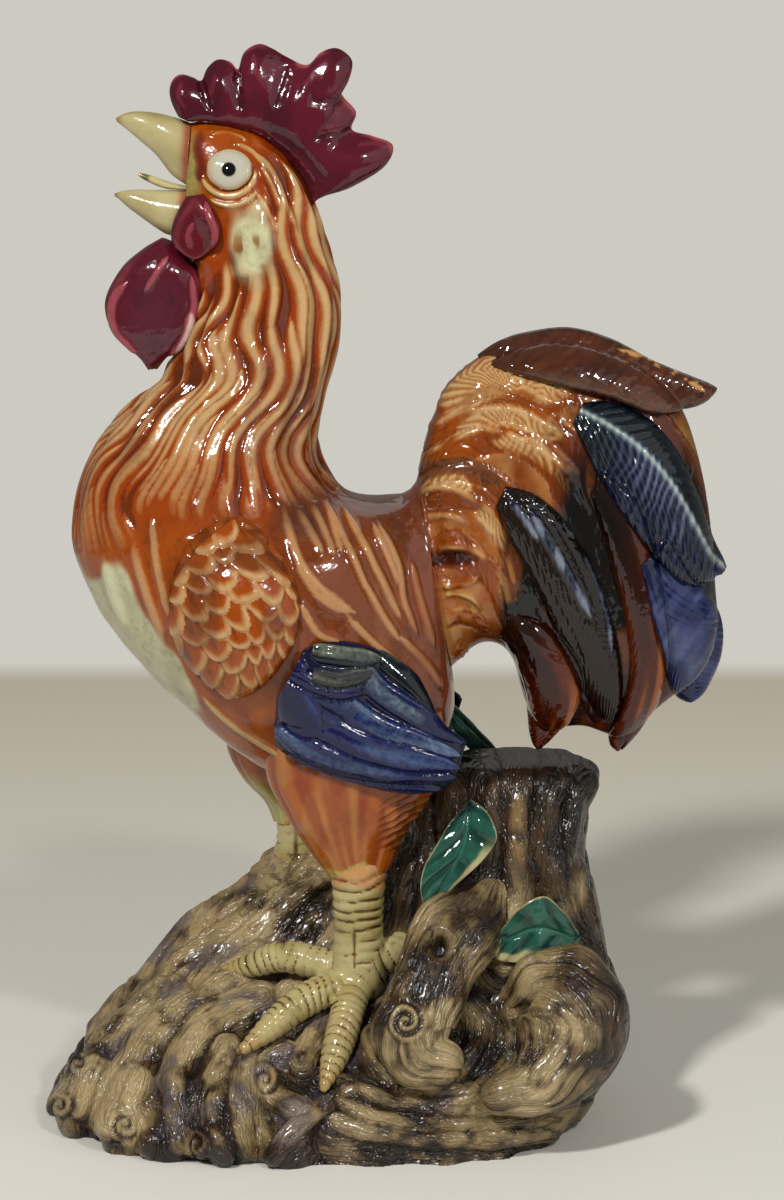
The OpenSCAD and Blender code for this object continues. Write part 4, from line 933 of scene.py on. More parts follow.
def eye_dress(p, t, s, span, length, top):
    """A white eye with a painted pupil and a painted brown shadow under the lid."""
    r = np.hypot(p[..., 0] - eye_centre_px[0], p[..., 1] - eye_centre_px[1])
    pupil = 1 - ease(r, 6.2, 7.8)
    # Painted shadow: the white turns brown towards its rim, most at the lower left, under the lid.
    shade = ease(r, 14, 19) * (0.45 + 0.55 * ease(p[..., 1] - 0.5 * p[..., 0], 35, 62))
    ridge, groove = layered(r.shape, ("#b6b29f", "#aca690"),
                            [(0.7 * shade, "#b89468", "#a88454"), (pupil, "#0a0807", "#0a0807")])
    return 0.35 * mm * (1 - ease(r, 0, 9)), np.full(r.shape, 0.7), ridge, groove


def lobe_dress(p, t, s, span, length, top):
    """A dished lobe with a rolled rim and two pale folds."""
    rim = peak(np.hypot(s, 2 * t - 1) - 0.78, 0.16)
    dish = 1 - ease(np.hypot(s * 1.1, 2 * t - 1.15), 0.0, 0.75)
    light = drawn(p, lobe_lights)
    ridge, groove = layered(t.shape, ("#98424c", "#5c1220"), [(dish, "#7a2430", "#6a101c")])
    return 0.45 * mm * rim - 0.9 * mm * dish + 0.5 * mm * light, 0.28 + 0.3 * rim + 0.7 * light, ridge, groove


def wattle_dress(p, t, s, span, length, top):
    """A hanging wattle with a rolled rim, folds, a hollow between them and a painted highlight down its side."""
    rim = peak(np.abs(s) - 0.84, 0.1) * ease(t, 0.05, 0.3) + ease(t, 0.86, 0.97) * 0.5
    folds = drawn(p, wattle_folds)
    dish = (1 - ease(np.abs(s), 0.25, 0.85)) * ease(t, 0.15, 0.4) * (1 - ease(t, 0.75, 0.95))
    ridge, groove = layered(t.shape, ("#a04a54", "#5c1424"), [
        (dish, "#98505a", "#5c2232"), (ease(np.abs(s), 0.93, 1), "#7a1c2c", "#6a1424"),
        # Painted highlight along the right side of the wattle
        (drawn(p, wattle_painted_highlight), "#d8b8ae", "#a8605c")])
    return 0.5 * mm * rim + 0.9 * mm * folds - 0.9 * mm * dish, 0.2 + 0.4 * rim + 0.8 * folds, ridge, groove


# Wings
def scale_dress(p, t, s, span, length, top):
    """Fish-scale feathers in rows that step down and towards the tail, dark at the start and pale at the edge; the
    dark at each start is partly painted shadow under the previous row's edge.
    """
    turned = ease(p[..., 0], 235, 290)
    way = np.stack([0.42 - 0.36 * turned, 0.9 + 0.09 * turned], -1)
    way = way / np.linalg.norm(way, axis=-1, keepdims=True)
    q = p + stray(p, 27.0, 41, 10.0) - scale_start_px
    u, v = (q * way).sum(-1), q[..., 1] * way[..., 0] - q[..., 0] * way[..., 1]
    pitch, row_gap, radius = 26.0, 21.0, 24.0
    best_r, best_du, best_row = np.full(u.shape, 9.0), np.zeros(u.shape), np.full(u.shape, 1e9)
    first = np.floor(u / row_gap)
    for back in (2, 1, 0, -1):
        row = first - back
        for side in (0, 1):
            col = np.floor(v / pitch - 0.5 * (row % 2)) + side
            jig = [hashed(row.astype(np.int64) + 500, col.astype(np.int64) + 500, (row * 0).astype(np.int64), k)
                   - 0.5 for k in (43, 45)]
            du = (u - (row + 0.3 * jig[0]) * row_gap) / (radius * (1.16 + 0.2 * jig[1]))
            dv = (v - (col + 0.5 * (row % 2) + 0.3 * jig[1]) * pitch) / (radius * (0.68 + 0.12 * jig[0]))
            r = np.hypot(du, dv)
            inside = (r < 1) & (row < best_row)
            best_r, best_du, best_row = (np.where(inside, new, old)
                                         for new, old in ((r, best_r), (du, best_du), (row, best_row)))
    on = best_r <= 1
    r = np.where(on, best_r, 0.9)
    free = ease(r, 0.4, 0.9) * ease(best_du, -0.35, 0.6) * on
    # The scale's outline is dark; the darkening at its start, under the previous row's edge, is painted shadow.
    line = np.clip(ease(r, 0.92, 1.0) + ease(-best_du, 0.3, 0.7), 0, 1)
    wash = ease(noise(p, 34.0, 44), 0.5, 0.75)
    fringe = ease(np.hypot(s, 2 * t - 1), 0.97, 1.0)
    streaks = noise(np.stack([u / 22, v / 3.2], -1), 1.0, 46)
    ridge, groove = layered(t.shape, ("#cca48c", "#a8560f"), [
        (wash * 0.8, "#b89480", "#8a5030"), (ease(p[..., 1], 640, 690), "#c69c7c", "#b0661f"),
        (fringe, "#a87858", "#9a5424")])
    rise = 1.5 * mm * (ease(best_du, -0.6, 0.9) - 0.5) - 0.8 * mm * ease(r, 0.88, 1.0) - 0.5 * mm * fringe
    relief = 0.16 + 0.8 * free * (1 - 0.3 * wash) + 0.22 * (streaks - 0.5) - 0.3 * line * (1 - free)
    return rise, np.clip(relief, 0, 1) * (1 - 0.6 * fringe), ridge, groove


flight_lines = [
    ([(284, 752), (320, 769), (370, 781), (450, 785)], 10, "#4a5f92", "#141c4c"),
    ([(276, 716), (310, 742), (360, 759), (458, 769)], 13, "#6a86a4", "#1a2458"),
    ([(296, 668), (340, 693), (387, 723), (460, 746)], 14, "#7f95a8", "#1f2c60"),
    ([(286, 696), (326, 719), (378, 742), (459, 758)], 15, "#5c76a0", "#1a2258"),
    ([(285, 646), (290, 688), (318, 726)], 22, "#3a4a8c", "#151b52"),
    ([(288, 662), (318, 677), (342, 683), (374, 676)], 8, "#3c4e94", "#161c50"),
    ([(356, 650), (379, 679), (419, 705), (466, 731)], 13, "#8a9aa0", "#1c2650"),
    ([(378, 643), (410, 668), (440, 694), (460, 718)], 11, "#5c7472", "#161c22"),
    ([(312, 664), (340, 669), (372, 661)], 10, "#8c8c74", "#3a3c40"),
    ([(312, 640), (345, 645), (380, 648)], 11, "#98a08a", "#1a2630")]


def flight_dress(p, t, s, span, length, top):
    """Flight feathers, each with its own glaze: the outline, its half width, then crest and hollow."""
    owner, _, across, run = (f.reshape(t.shape)
                             for f in plumes(p.reshape(-1, 2), [(q[0], q[1]) for q in flight_lines]))
    on = owner >= 0
    crown = np.where(on, np.sqrt(np.clip(1 - across**2, 0, 1)), 0)
    edge = np.where(on, peak(across + 0.7, 0.22), 0)
    crests, hollows = (np.array([tone(q[k]) for q in flight_lines])[np.clip(owner, 0, None)] for k in (2, 3))
    ridge, groove = layered(t.shape, ("#2f3d74", "#12173f"), [])
    ridge, groove = blend(ridge, crests, on.astype(float)), blend(groove, hollows, on.astype(float))
    veil = ease(noise(np.stack([run / 60, across * 1.2, owner * 3.7], -1), 1.0, 54), 0.3, 0.75)
    speck = 0.75 + 0.5 * (noise(top, 0.8 * mm, 52) - 0.5)
    high = np.clip((0.62 * crown**4 * veil + 0.6 * edge * (0.5 + 0.5 * veil)) * speck + 0.15, 0, 1)
    streaks = 0.3 * mm * (noise(np.stack([run / 40, across * 3, 0 * run], -1), 1.0, 53) - 0.5)
    return 1.7 * mm * (crown - 0.5) + 0.6 * mm * edge + streaks, high, ridge, groove


# Tail
def feather(shaft_at, gap, slope, cut, paint):
    """A feather in relief: a raised shaft, barbs that sweep back from it, and its own glaze."""
    def dress(p, t, s, span, length, top):
        off = s - shaft_at(t)
        run = t * length + 2.5 * mm * (noise(top, 7 * mm, 61) - 0.5)
        ribs = barbs(run, off, span, gap * (1 + 0.25 * (noise(top, 12 * mm, 66) - 0.5)), slope)
        shaft = peak(off * span, 0.9 * mm) * (1 - ease(t, 0.9, 1.0)) * (cut > 0.3 * mm)
        rise = 0.5 * mm * shaft + cut * (ribs - 0.6) * (1 - shaft) * ease(np.abs(off), 0.02, 0.2)
        swell, relief, ridge, groove = paint(p, t, s, off, ribs, shaft)
        return rise + swell, np.clip(relief, 0, 1), ridge, groove
    return dress


def paint_top(p, t, s, off, ribs, shaft):
    """Red-brown with slanting streaks, a dark back edge and a line where the glaze has worn to cream."""
    worn = drawn(p, top_worn) * ease(noise(p, (5.0, 4.0), 62), 0.35, 0.6)
    slant = noise(np.stack([(p[..., 0] + 1.2 * p[..., 1]) / 5, (p[..., 1] - 0.6 * p[..., 0]) / 34], -1),
                  1.0, 63)
    streak = ease(slant, 0.7, 0.85) * ease(p[..., 0], 540, 640)
    low = peak(s + 0.66, 0.2) * ease(p[..., 0], 520, 560)
    ridge, groove = layered(t.shape, ("#7c5244", "#583428"), [
        (ease(noise(p, (60.0, 14.0), 64), 0.4, 0.7), "#6c4c42", "#523430"), (low, "#84706a", "#6a544e"),
        (0.7 * streak, "#8a5434", "#70402a"),
        (ease(s, 0.86, 1.0), "#6a4028", "#3c2218"), (ease(-s, 0.86, 0.98), "#2e1a14", "#1a0e0a"),
        (worn, "#cfae80", "#b98a54"), (ease(t, 0.93, 1), "#9c5a30", "#6a3018")])
    return 0.3 * mm * (slant - 0.5), 0.3 + 0.3 * slant + 0.5 * worn, ridge, groove


def paint_upper(p, t, s, off, ribs, shaft):
    """Dark blue with steep pale barbs on the near side of the shaft and a teal band beyond it."""
    outer = ease(off, 0.05, 0.2)
    bars = cycle((p[..., 0] + 0.3 * p[..., 1] + 7 * noise(p, 18.0, 70)) / 8.5)
    pale = (1 - outer) * ease(t, 0.15, 0.35) * (1 - ease(t, 0.72, 0.9)) * ease(off, -1.1, -0.3)
    ridge, groove = layered(t.shape, ("#36466a", "#10152e"), [
        (pale * ease(noise(p, 24.0, 67), 0.3, 0.6), "#8a93a8", "#1a2248"),
        (ease(0.3 - t, 0, 0.2) * (1 - outer), "#2c4650", "#141f28"),
        (outer, "#36525c", "#131e28"), (ease(t, 0.72, 0.95), "#2c3c84", "#161d54"),
        (ease(np.abs(s), 0.88, 1.0), "#182440", "#0e1426"), (shaft, "#b4bcb4", "#748890")])
    high = 0.08 + (0.6 * bars * (1 - outer) + 0.3 * ribs * outer) + 0.5 * shaft
    return 0.25 * mm * bars * pale, high, ridge, groove


def paint_lower(p, t, s, off, ribs, shaft):
    """Cobalt with a cloud of paler blue and fine slanting streaks."""
    cloud = noise(p, 20.0, 68)
    fine = noise(np.stack([(p[..., 0] + 0.7 * p[..., 1]) / 6, (p[..., 1] - 0.7 * p[..., 0]) / 40], -1), 1.0, 71)
    ridge, groove = layered(t.shape, ("#485684", "#1a2658"), [
        (ease(cloud, 0.4, 0.7), "#646e90", "#26336a"), (ease(np.abs(s), 0.84, 1), "#202c5c", "#131a42"),
        (ease(0.2 - t, 0, 0.2), "#24305c", "#141a3c")])
    return 0 * t, 0.15 + 0.65 * fine + 0.25 * (cloud - 0.4), ridge, groove


def paint_mid(p, t, s, off, ribs, shaft):
    """Black-navy with one soft pale streak, and a green-black fan with thin pale barbs."""
    blade_light, fan_light = drawn(p, mid_blades, 3.0), drawn(p, mid_fan, 2.0)
    comb_lines = ease(noise(np.stack([(p[..., 0] + 0.9 * p[..., 1]) / 40,
                                      (p[..., 0] - 0.35 * p[..., 1]) / 4.2], -1), 1.0, 69), 0.4, 0.65)
    soft = ease(noise(p, (10.0, 26.0), 72), 0.25, 0.7)
    ridge, groove = layered(t.shape, ("#4c3a2c", "#24160e"), [
        (ease(off, 0.0, 0.5) * 0.7, "#2c3836", "#121413"), (fan_light, "#9cb4a6", "#24403c"),
        (blade_light, "#8a94a4", "#242c44"),
        (ease(t, 0.55, 0.85), "#50301e", "#221008"), (ease(np.abs(s), 0.84, 1), "#1c1412", "#0e0a08")])
    relief = 0.15 + 0.8 * fan_light * comb_lines + 0.8 * blade_light * soft + 0.25 * ribs
    return 0.7 * mm * blade_light + 0.5 * mm * fan_light - 0.4 * mm * drawn(p, mid_gaps), relief, ridge, groove


def paint_tip(p, t, s, off, ribs, shaft):
    """Dark at the root, then orange-brown in long streaks, and dark red again at the point."""
    streak = noise(np.stack([s * 3, t * 3], -1), 1.0, 65)
    ridge, groove = layered(t.shape, ("#8a4418", "#451808"), [
        (ease(0.4 - t, 0, 0.3), "#40241a", "#1c100c"),
        (ease(streak, 0.55, 0.75) * ease(t, 0.35, 0.5) * (1 - ease(t, 0.78, 0.92)), "#b8783c", "#8c4818"),
        (ease(t, 0.78, 0.95), "#68261a", "#421410"), (ease(np.abs(s), 0.86, 1.0), "#5c2c1c", "#30120c")])
    return 0.7 * mm * (streak - 0.5), 0.2 + 0.6 * streak, ridge, groove


tail_feathers = [
    ([(600, 392), (650, 408), (692, 468), (716, 548)], 15),
    ([(500, 356), (560, 368), (612, 378), (662, 398)], 14),
    ([(560, 420), (605, 460), (640, 540), (655, 640)], 18),
    ([(560, 470), (598, 520), (622, 600), (636, 700)], 18),
    ([(416, 452), (453, 416), (507, 399), (562, 424), (598, 470), (612, 530)], 15),
    ([(410, 474), (439, 394), (485, 362), (530, 378), (580, 396)], 16),
    ([(404, 486), (457, 438), (512, 428), (553, 450), (584, 500), (600, 560)], 16),
    ([(520, 520), (556, 580), (584, 650), (600, 712)], 17),
    ([(403, 498), (430, 476), (470, 466), (506, 480), (540, 530), (566, 600)], 15),
    ([(500, 560), (528, 610), (542, 670), (546, 720)], 15),
    ([(405, 522), (439, 486), (480, 487), (505, 518), (523, 573), (528, 634)], 14),
    ([(423, 556), (453, 529), (485, 555), (508, 595), (518, 634)], 12),
    ([(412, 588), (424, 618), (436, 646), (446, 676)], 10),
    ([(424, 640), (440, 612), (468, 606), (492, 622)], 10),
    ([(458, 640), (474, 650), (488, 668), (494, 690)], 9),
    ([(470, 545), (452, 528), (434, 540), (432, 560), (448, 572), (468, 566)], 9)]


def make_tail():
    """The tail fan, which begins in the body's last ring, with its feathers, cream barbs and dark middle."""
    form = smooth_tail
    sides, rows = 280, 260
    fine = sampled(np.concatenate([form[0], form[1], form[2][:, None]], 1), rows)
    grid = ring_grid((fine[:, 0:2], fine[:, 2:4], fine[:, 4]), sides)
    n = outward(grid, normals(grid))
    p = side_view(grid)
    px, py = p[..., 0], p[..., 1]
    warped = p + stray(grid, 12 * mm, 75, 8.0)
    owner, _, s, run = (f.reshape(px.shape) for f in plumes(warped.reshape(-1, 2), tail_feathers))
    side = ease(np.abs(grid[..., 1]), 1.5 * mm, 4 * mm)
    start = ease(np.arange(rows), 0, 8)[:, None]
    on = (owner >= 0) * side * start
    crown = np.sqrt(np.clip(1 - s**2, 0, 1))
    widths = np.array([w for _, w in tail_feathers], float)[np.clip(owner, 0, None)]
    hairs = cycle((np.abs(s) * widths - 0.55 * run + 6 * noise(p, 20.0, 77))
                  / (6.2 * (0.7 + 0.6 * noise(p, 30.0, 78))))
    edge = peak(s + 0.8, 0.16)
    broken = ease(noise(p, (12.0, 12.0), 81), 0.2, 0.6)
    marks = drawn(warped, [(q, 1.4 * w) for q, w in tail_marks], 1.6) * side * start * (0.4 + 0.6 * broken)
    barbed = drawn(warped, tail_creams, 1.0) * side * start
    hollow = oval(p, *tail_hollow_px, 0.35) * side
    leafy = oval(p, *leafy_px, 0.3) * side
    hairs = hairs * (1 - leafy) + leafy * ease(noise(p, (9.0, 6.0), 79), 0.4, 0.55)
    rear = ease(px + 0.25 * (py - 450), *tail_rear_px)
    dark = ease(px + 0.2 * (py - 450) + 14 * (noise(p, 20.0, 80) - 0.5), *tail_dark_px) * ease(py, 420, 470)
    dark = np.maximum(dark, ease(px, 496, 512) * ease(py - 0.6 * (px - 500), 505, 530)) * side
    crown_line = ease(510 - px, 0, 30) * ease(px, 428, 450) * ease(420 - py, 0, 40)
    grained = noise(grid, (3 * mm, 5 * mm, 24 * mm), 73)
    rise = on * (1.4 * mm * (crown - 0.6) + 0.4 * mm * edge + 0.35 * mm * (hairs - 0.55)) * (1 - 0.5 * dark)
    grid = grid + n * (rise + 0.9 * mm * marks - 1.6 * mm * hollow
                       + 0.3 * mm * start * (noise(grid, 7 * mm, 71) - 0.5) + 1.8 * mm * crown_line
                       + 0.8 * mm * dark * (grained - 0.5))[..., None]
    seam = ease(438 - px, 0, 18)
    mauve = drawn(p, tail_mauve, 0.6) * side
    strip = ease(px - 0.35 * (py - 414), *tail_strip_px) * (1 - ease(py, 520, 545))
    streak = ease(grained, 0.6, 0.75)
    ridge, groove = layered(px.shape, ("#c79a80", "#a05618"), [
        (ease(noise(grid, 10 * mm, 72), 0.45, 0.7) * 0.8, "#bd8a68", "#8e4c22"),
        (barbed, "#cfab94", "#ae7650"), (seam, "#b0805c", "#8a5238"),
        (mauve, "#a87862", "#80523f"), (leafy, "#ccaa8c", "#a8642c"), (hollow, "#8a4c38", "#70301c"),
        (rear, "#b47a48", "#6a3018"),
        (dark, "#4c3224", "#1e120e"), (dark * streak, "#a8703c", "#74401c"),
        (dark * ease(noise(p, 26.0, 74), 0.62, 0.75), "#2a3850", "#141420"),
        (strip, "#c0945c", "#7a4420"), (ease(py, *tail_low_px) * ease(px, 560, 600), "#8a4a28", "#4a1e12")])
    feathered = np.clip((0.35 + 0.45 * barbed) * hairs * crown**0.5 + 0.35 * edge + 0.25 * barbed + 0.1, 0, 1)
    bare = 0.3 + 0.5 * noise(grid, (4 * mm, 4 * mm, 9 * mm), 82)
    relief = on * feathered * (1 - 0.4 * dark) + (1 - on) * bare
    relief = np.clip(np.maximum(relief * (1 - hollow), 0.95 * marks) * (1 - 0.6 * mauve * (1 - marks)), 0, 1)
    glazed("tail", ["tail_core"], "amber_glaze", *closed_grid(grid, ridge, groove, relief), amber)


# Legs, roots and base
def tube(points, radii, sides=24, rings=60):
    """A closed round rod through points, with round ends."""
    line, r = sampled(points, rings), sampled(radii, rings)
    d = np.gradient(line, axis=0)
    d /= np.linalg.norm(d, axis=1, keepdims=True)
    u = np.cross(d[0], [0.3, 0.9, 0.2])
    u /= np.linalg.norm(u)
    a = angles(sides)
    made = []
    caps = np.linspace(math.pi / 2, 0.15, 5)[::-1]
    frames = []
    for k in range(rings):
        u = u - d[k] * (u @ d[k])
        u /= np.linalg.norm(u)
        frames.append((u, np.cross(d[k], u)))
    circle = lambda c, q, k: c + q * (np.cos(a)[:, None] * frames[k][0] + np.sin(a)[:, None] * frames[k][1])
    for b in caps[:-1]:
        made.append(circle(line[0] - d[0] * r[0] * math.cos(b), r[0] * math.sin(b), 0))
    for k in range(rings):
        made.append(circle(line[k], r[k], k))
    for b in caps[:-1][::-1]:
        made.append(circle(line[-1] + d[-1] * r[-1] * math.cos(b), r[-1] * math.sin(b), rings - 1))
    verts, faces = closed_grid(np.array(made))
    return verts, faces


def spot(p, out):
    """A place of the picture that lies so far out, in metres."""
    q = flat(p, out)
    return np.array([q[0], -out, q[1]])


def taken(thing):
    """The points, faces and normals of an object with its modifiers applied; the object goes."""
    made = bpy.data.meshes.new_from_object(thing.evaluated_get(bpy.context.evaluated_depsgraph_get()))
    co, no = np.zeros(len(made.vertices) * 3), np.zeros(len(made.vertices) * 3)
    made.vertices.foreach_get("co", co)
    made.vertex_normals.foreach_get("vector", no)
    faces = [list(q.vertices) for q in made.polygons]
    bpy.data.objects.remove(thing)
    return co.reshape(-1, 3), faces, no.reshape(-1, 3)


def one_skin(parts, voxel, soften=4):
    """Closed meshes run together as one skin of even quads: its points, faces and normals."""
    verts, faces, start = [], [], 0
    for v, f in parts:
        verts.append(v)
        faces += [[i + start for i in q] for q in f]
        start += len(v)
    lump = plain_mesh("skin", np.concatenate(verts), faces)
    step = lump.modifiers.new("remesh", "REMESH")
    step.mode, step.voxel_size, step.adaptivity = "VOXEL", voxel, 0
    even_out = lump.modifiers.new("soften", "SMOOTH")
    even_out.factor, even_out.iterations = 0.5, soften
    return taken(lump)


def on_routes(co, routes):
    """For each place, the nearest route: its number, length along and distance."""
    best, owner, at = np.full(len(co), 1e9), np.zeros(len(co), int), np.zeros(len(co))
    for k, line in enumerate(routes):
        starts = running(line)
        for i in range(len(line) - 1):
            d = line[i + 1] - line[i]
            rel = co - line[i]
            f = np.clip(rel @ d / (d @ d), 0, 1)
            dist = np.linalg.norm(rel - f[:, None] * d, axis=1)
            closer = dist < best
            best, owner = np.where(closer, dist, best), np.where(closer, k, owner)
            at = np.where(closer, starts[i] + f * np.linalg.norm(d), at)
    return owner, at, best


def make_leg(name, node_name, side, ends, tips, knuckles):
    """Shank and toes in one skin, with carved rings across them and smooth claws."""
    ankle, foot = spot(ends[0], side), spot(ends[1], side)
    shank = [ankle, ankle + (foot - ankle) * 0.5, foot]
    parts = [tube(shank, [shank_w / 2, 0.44 * shank_w, shank_w / 2], 32)]
    routes = [np.array(shank)]
    for k in range(4):
        knuckle, tip = spot(knuckles[k][:2], knuckles[k][2] * base_w), spot(tips[k][:2], tips[k][2] * base_w)
        parts.append(tube([foot, (foot + knuckle) / 2 + [0, 0, 0.6 * mm], knuckle,
                           (knuckle + tip) / 2 - [0, 0, 0.2 * mm], tip],
                          [0.52 * toe_w, 0.5 * toe_w, 0.47 * toe_w, 0.36 * toe_w, 0.13 * toe_w], 24))
        routes.append(np.array([foot, knuckle, tip]))
    co, faces, no = one_skin(parts, leg_step, 4)
    owner, at, _ = on_routes(co, routes)
    sway = 2.6 * mm * (noise(co, 7 * mm, 81) - 0.5) + 0.16 * (co[:, 0] - foot[0]) * (owner == 0)
    gap = np.where(owner == 0, 3.1 * mm, 2.6 * mm)
    phase = np.abs((at + sway) / gap % 1 - 0.5) * 2
    line = ease(phase, 0.7, 1.0) * (0.3 + 0.7 * ease(noise(co, 5 * mm, 84), 0.3, 0.6))
    split = (peak(co[:, 0] - foot[0] + 1.2 * mm, 0.5 * mm) * (owner == 0)
             * ease(foot[2] + 18 * mm - co[:, 2], 0, 6 * mm))
    line = np.maximum(line, 0.7 * split)
    lengths = np.array([np.linalg.norm(np.diff(r, axis=0), axis=1).sum() for r in routes])[owner]
    claw = (owner > 0) * ease(at, lengths - 9 * mm, lengths - 5 * mm)
    rise = 0.3 * mm * (1 - phase) - 0.5 * mm * line * (1 - 0.8 * claw)
    low = ease(foot[2] - 2 * mm - co[:, 2], 0, 9 * mm)
    olive = ease(noise(co, 7 * mm, 83), 0.45, 0.7)
    upper = ease(foot[2] + 0.85 * (ankle[2] - foot[2]) - co[:, 2] + 5 * mm * (noise(co, 5 * mm, 85) - 0.5),
                 -1 * mm, 2 * mm)
    ridge, groove = layered(owner.shape, ("#c4b88c", "#826438"), [
        (olive * 0.7, "#b3a670", "#6a5230"), (low * 0.5, "#bba878", "#5c4428"), (claw, "#b9a372", "#8a6a44"),
        (1 - upper, "#c9a070", "#9a6034")])
    relief = np.clip(1.0 - 0.95 * line - 0.25 * olive, 0, 1)
    glazed(name, [node_name], "leg_glaze", co + no * rise[:, None], faces, ridge, groove, relief, legs_glaze)


def make_thigh(name, node_name, table, side):
    """The feathered thigh: long streaks, a hatched patch behind and a cream hem."""
    rings, sides = 130, 150
    form = table_form(np.column_stack([table, thigh_w_shares]), thigh_w / 2, side, rings)
    grid = ring_grid(form, sides, side)
    n = outward(grid, normals(grid))
    v = side_view(grid)
    a = angles(sides)[None]
    level = np.broadcast_to(np.arange(rings)[:, None], v.shape[:2])
    streak = noise(np.stack([a * 9 + 0 * v[..., 0], level / 60.0, 0 * v[..., 0]], -1), 1.0, 91)
    hatch = cycle((v[..., 1] + 0.55 * v[..., 0] + 6 * noise(v, 14.0, 94)) / 7.0)
    high, low = thigh_hatch_px[:2], thigh_hatch_px[2:]
    rear = ease(v[..., 0], *thigh_rear_px) * ease(v[..., 1], *high) * (1 - ease(v[..., 1], *low))
    grid = grid + n * (0.6 * mm * (streak - 0.5) + 0.5 * mm * rear * (hatch - 0.5)
                       + 0.8 * mm * (noise(grid, 10 * mm, 95) - 0.5))[..., None]
    end = near_thigh_end_px if side > 0 else far_thigh_end_px
    foot_line = ease(v[..., 1] + 16 * (noise(v, 11.0, 92) - 0.5), end, end + 5)
    ridge, groove = layered(streak.shape, ("#c47c42", "#9c4c18"), [
        (rear, "#bd8048", "#7f421c"), (ease(noise(v, (14.0, 40.0), 93), 0.5, 0.75), "#c58c5c", "#a4603a"),
        (foot_line, "#cdb888", "#a88454"),
        (ease(-side, 0, mm) * ease(v[..., 1], 770, 800), "#cfc4a4", "#a89468")])
    glazed(name, [node_name], "amber_glaze",
           *closed_grid(grid, ridge, groove, (0.3 + 0.5 * streak) * (1 - rear) + rear * (0.2 + 0.5 * hatch)),
           amber)


def grain(co, p, seed):
    """Modelled bark: root ridges that follow drawn routes, each with grain that runs along it."""
    strokes = [(sampled(q, 20), w) for q, w in root_routes]
    warped = p + stray(co, 16 * mm, seed, 11.0)
    best, u, v = np.full(len(p), 9.0), np.zeros(len(p)), np.zeros(len(p))
    first = np.zeros(len(p), int)
    for k, (line, width) in enumerate(strokes):
        t, s, length = nearest(warped, line)
        r = np.abs(s) / width
        closer = r < best
        best, u, v = np.where(closer, r, best), np.where(closer, t * length, u), np.where(closer, s, v)
        first = np.where(closer, k, first)
    dome = np.sqrt(np.clip(1 - np.clip(best, 0, 1) ** 2, 0, 1))
    laid = np.stack([u / 40 + first * 7.3, v / 10, 0.6 * noise(co, 9 * mm, seed + 2)], -1)
    wide = 1 - peak(noise(laid, 1.0, seed + 3) - 0.5, 0.12)
    thin = 1 - peak(noise(laid * (1.6, 2.6, 1), 1.0, seed + 4) - 0.5, 0.13)
    return dome, best, wide, thin, laid


def coil(p, centre, size, gap):
    """Rings of a sawn root end or a curled knot: how strongly they show and their ridges."""
    d = p - np.array(centre, float)
    r = np.hypot(d[:, 0], d[:, 1] * 0.9)
    turn = np.arctan2(d[:, 1], d[:, 0]) / (2 * math.pi)
    return 1 - ease(r, 0.8 * size, 1.2 * size), cycle(r / gap + turn)


def bark_finish(co, no, seed, layers):
    """Bark over a skin: where its points go, how high each stands, its colours and its grain."""
    p = side_view(co)
    dome, best, wide, thin, flow = grain(co, p, seed)
    rise = (3.0 * mm * (dome - 0.6) + 0.6 * mm * (wide - 0.7) + 0.2 * mm * (thin - 0.7)
            + 1.6 * mm * (noise(co, 9 * mm, seed + 9) - 0.5))
    rise = rise * (1 - 0.85 * ease(stump_rise_px - p[:, 1], 0, 36))
    relief = 0.34 * wide + 0.14 * thin + 0.4 * np.clip(dome, 0, 1)
    near = (co[:, 1] < 0).astype(float)
    for centre, size, gap in coils:
        there, rings = coil(p, centre, size, gap)
        there = there * near
        rise = rise * (1 - there) + there * (1.0 * mm * (rings - 0.4) + 1.0 * mm)
        relief = relief * (1 - 0.8 * there) + 0.8 * there * rings
    patches, worn = noise(co, 14 * mm, seed + 11), noise(co, 5 * mm, seed + 12)
    relief = relief + 0.85 * (patches - 0.48) + 0.6 * (worn - 0.48)
    ridge, groove = layered(relief.shape, ("#9e8c68", "#41301f"), [
        (ease(patches, 0.5, 0.72), "#b09e7a", "#54402a"), (ease(0.42 - patches, 0, 0.15), "#7f6a48", "#30231a"),
        (ease(best, 0.75, 1.0) * 0.7, "#6e5a40", "#2a1e16"), *layers(co, p, no)])
    return co + no * rise[:, None], np.clip(relief, 0, 1), ridge, groove, flow


def mound_layers(co, p, no):
    """Colours that lie on the bark: mauve pools, the dark stump and its darker top."""
    up = np.clip(no[:, 2], 0, 1)
    pools = np.maximum.reduce([oval(p, c, r, 0.5) for c, r in mauve_pools])
    pool = np.maximum(ease(noise(co, 9 * mm, 131), 0.6, 0.7) * ease(up, 0.2, 0.5) * 0.7,
                      pools * ease(noise(co, 6 * mm, 133), 0.3, 0.55)) * (p[:, 1] > 880)
    stump = (ease(stump_foot_px - p[:, 1] + 60 * (noise(co, 12 * mm, 132) - 0.5), 0, 50)
             * ease(p[:, 0], *stump_left_px))
    stump = np.maximum(stump, ease(p[:, 0] + 14 * (noise(co, 8 * mm, 135) - 0.5), *stump_right_px)
                       * ease(985 - p[:, 1], 0, 40))
    left = (ease(448 - p[:, 0] + 20 * (noise(co, 9 * mm, 134) - 0.5), 0, 24) * ease(940 - p[:, 1], 0, 30)
            * ease(p[:, 0], 366, 384))
    streak = oval(p, *stump_streak_px, 0.4)
    side_shade = 0.7 * ease(p[:, 0], 440, 540) * ease(p[:, 1], 900, 940)
    crest = ease(up, 0.5, 0.8) * ease(stump_rise_px - p[:, 1], 0, 30)
    return [(pool, "#6a6066", "#4a4048"), (side_shade, "#80704e", "#2a1e14"), (stump, "#4c3a26", "#18100c"),
            (left, "#4c3c2c", "#1e1610"), (streak * stump, "#8c7450", "#4c3a28"),
            (crest, "#2e2218", "#16100c"), (ease(p[:, 1], *rim_px) * 0.5, "#9a8460", "#3a2a1e")]


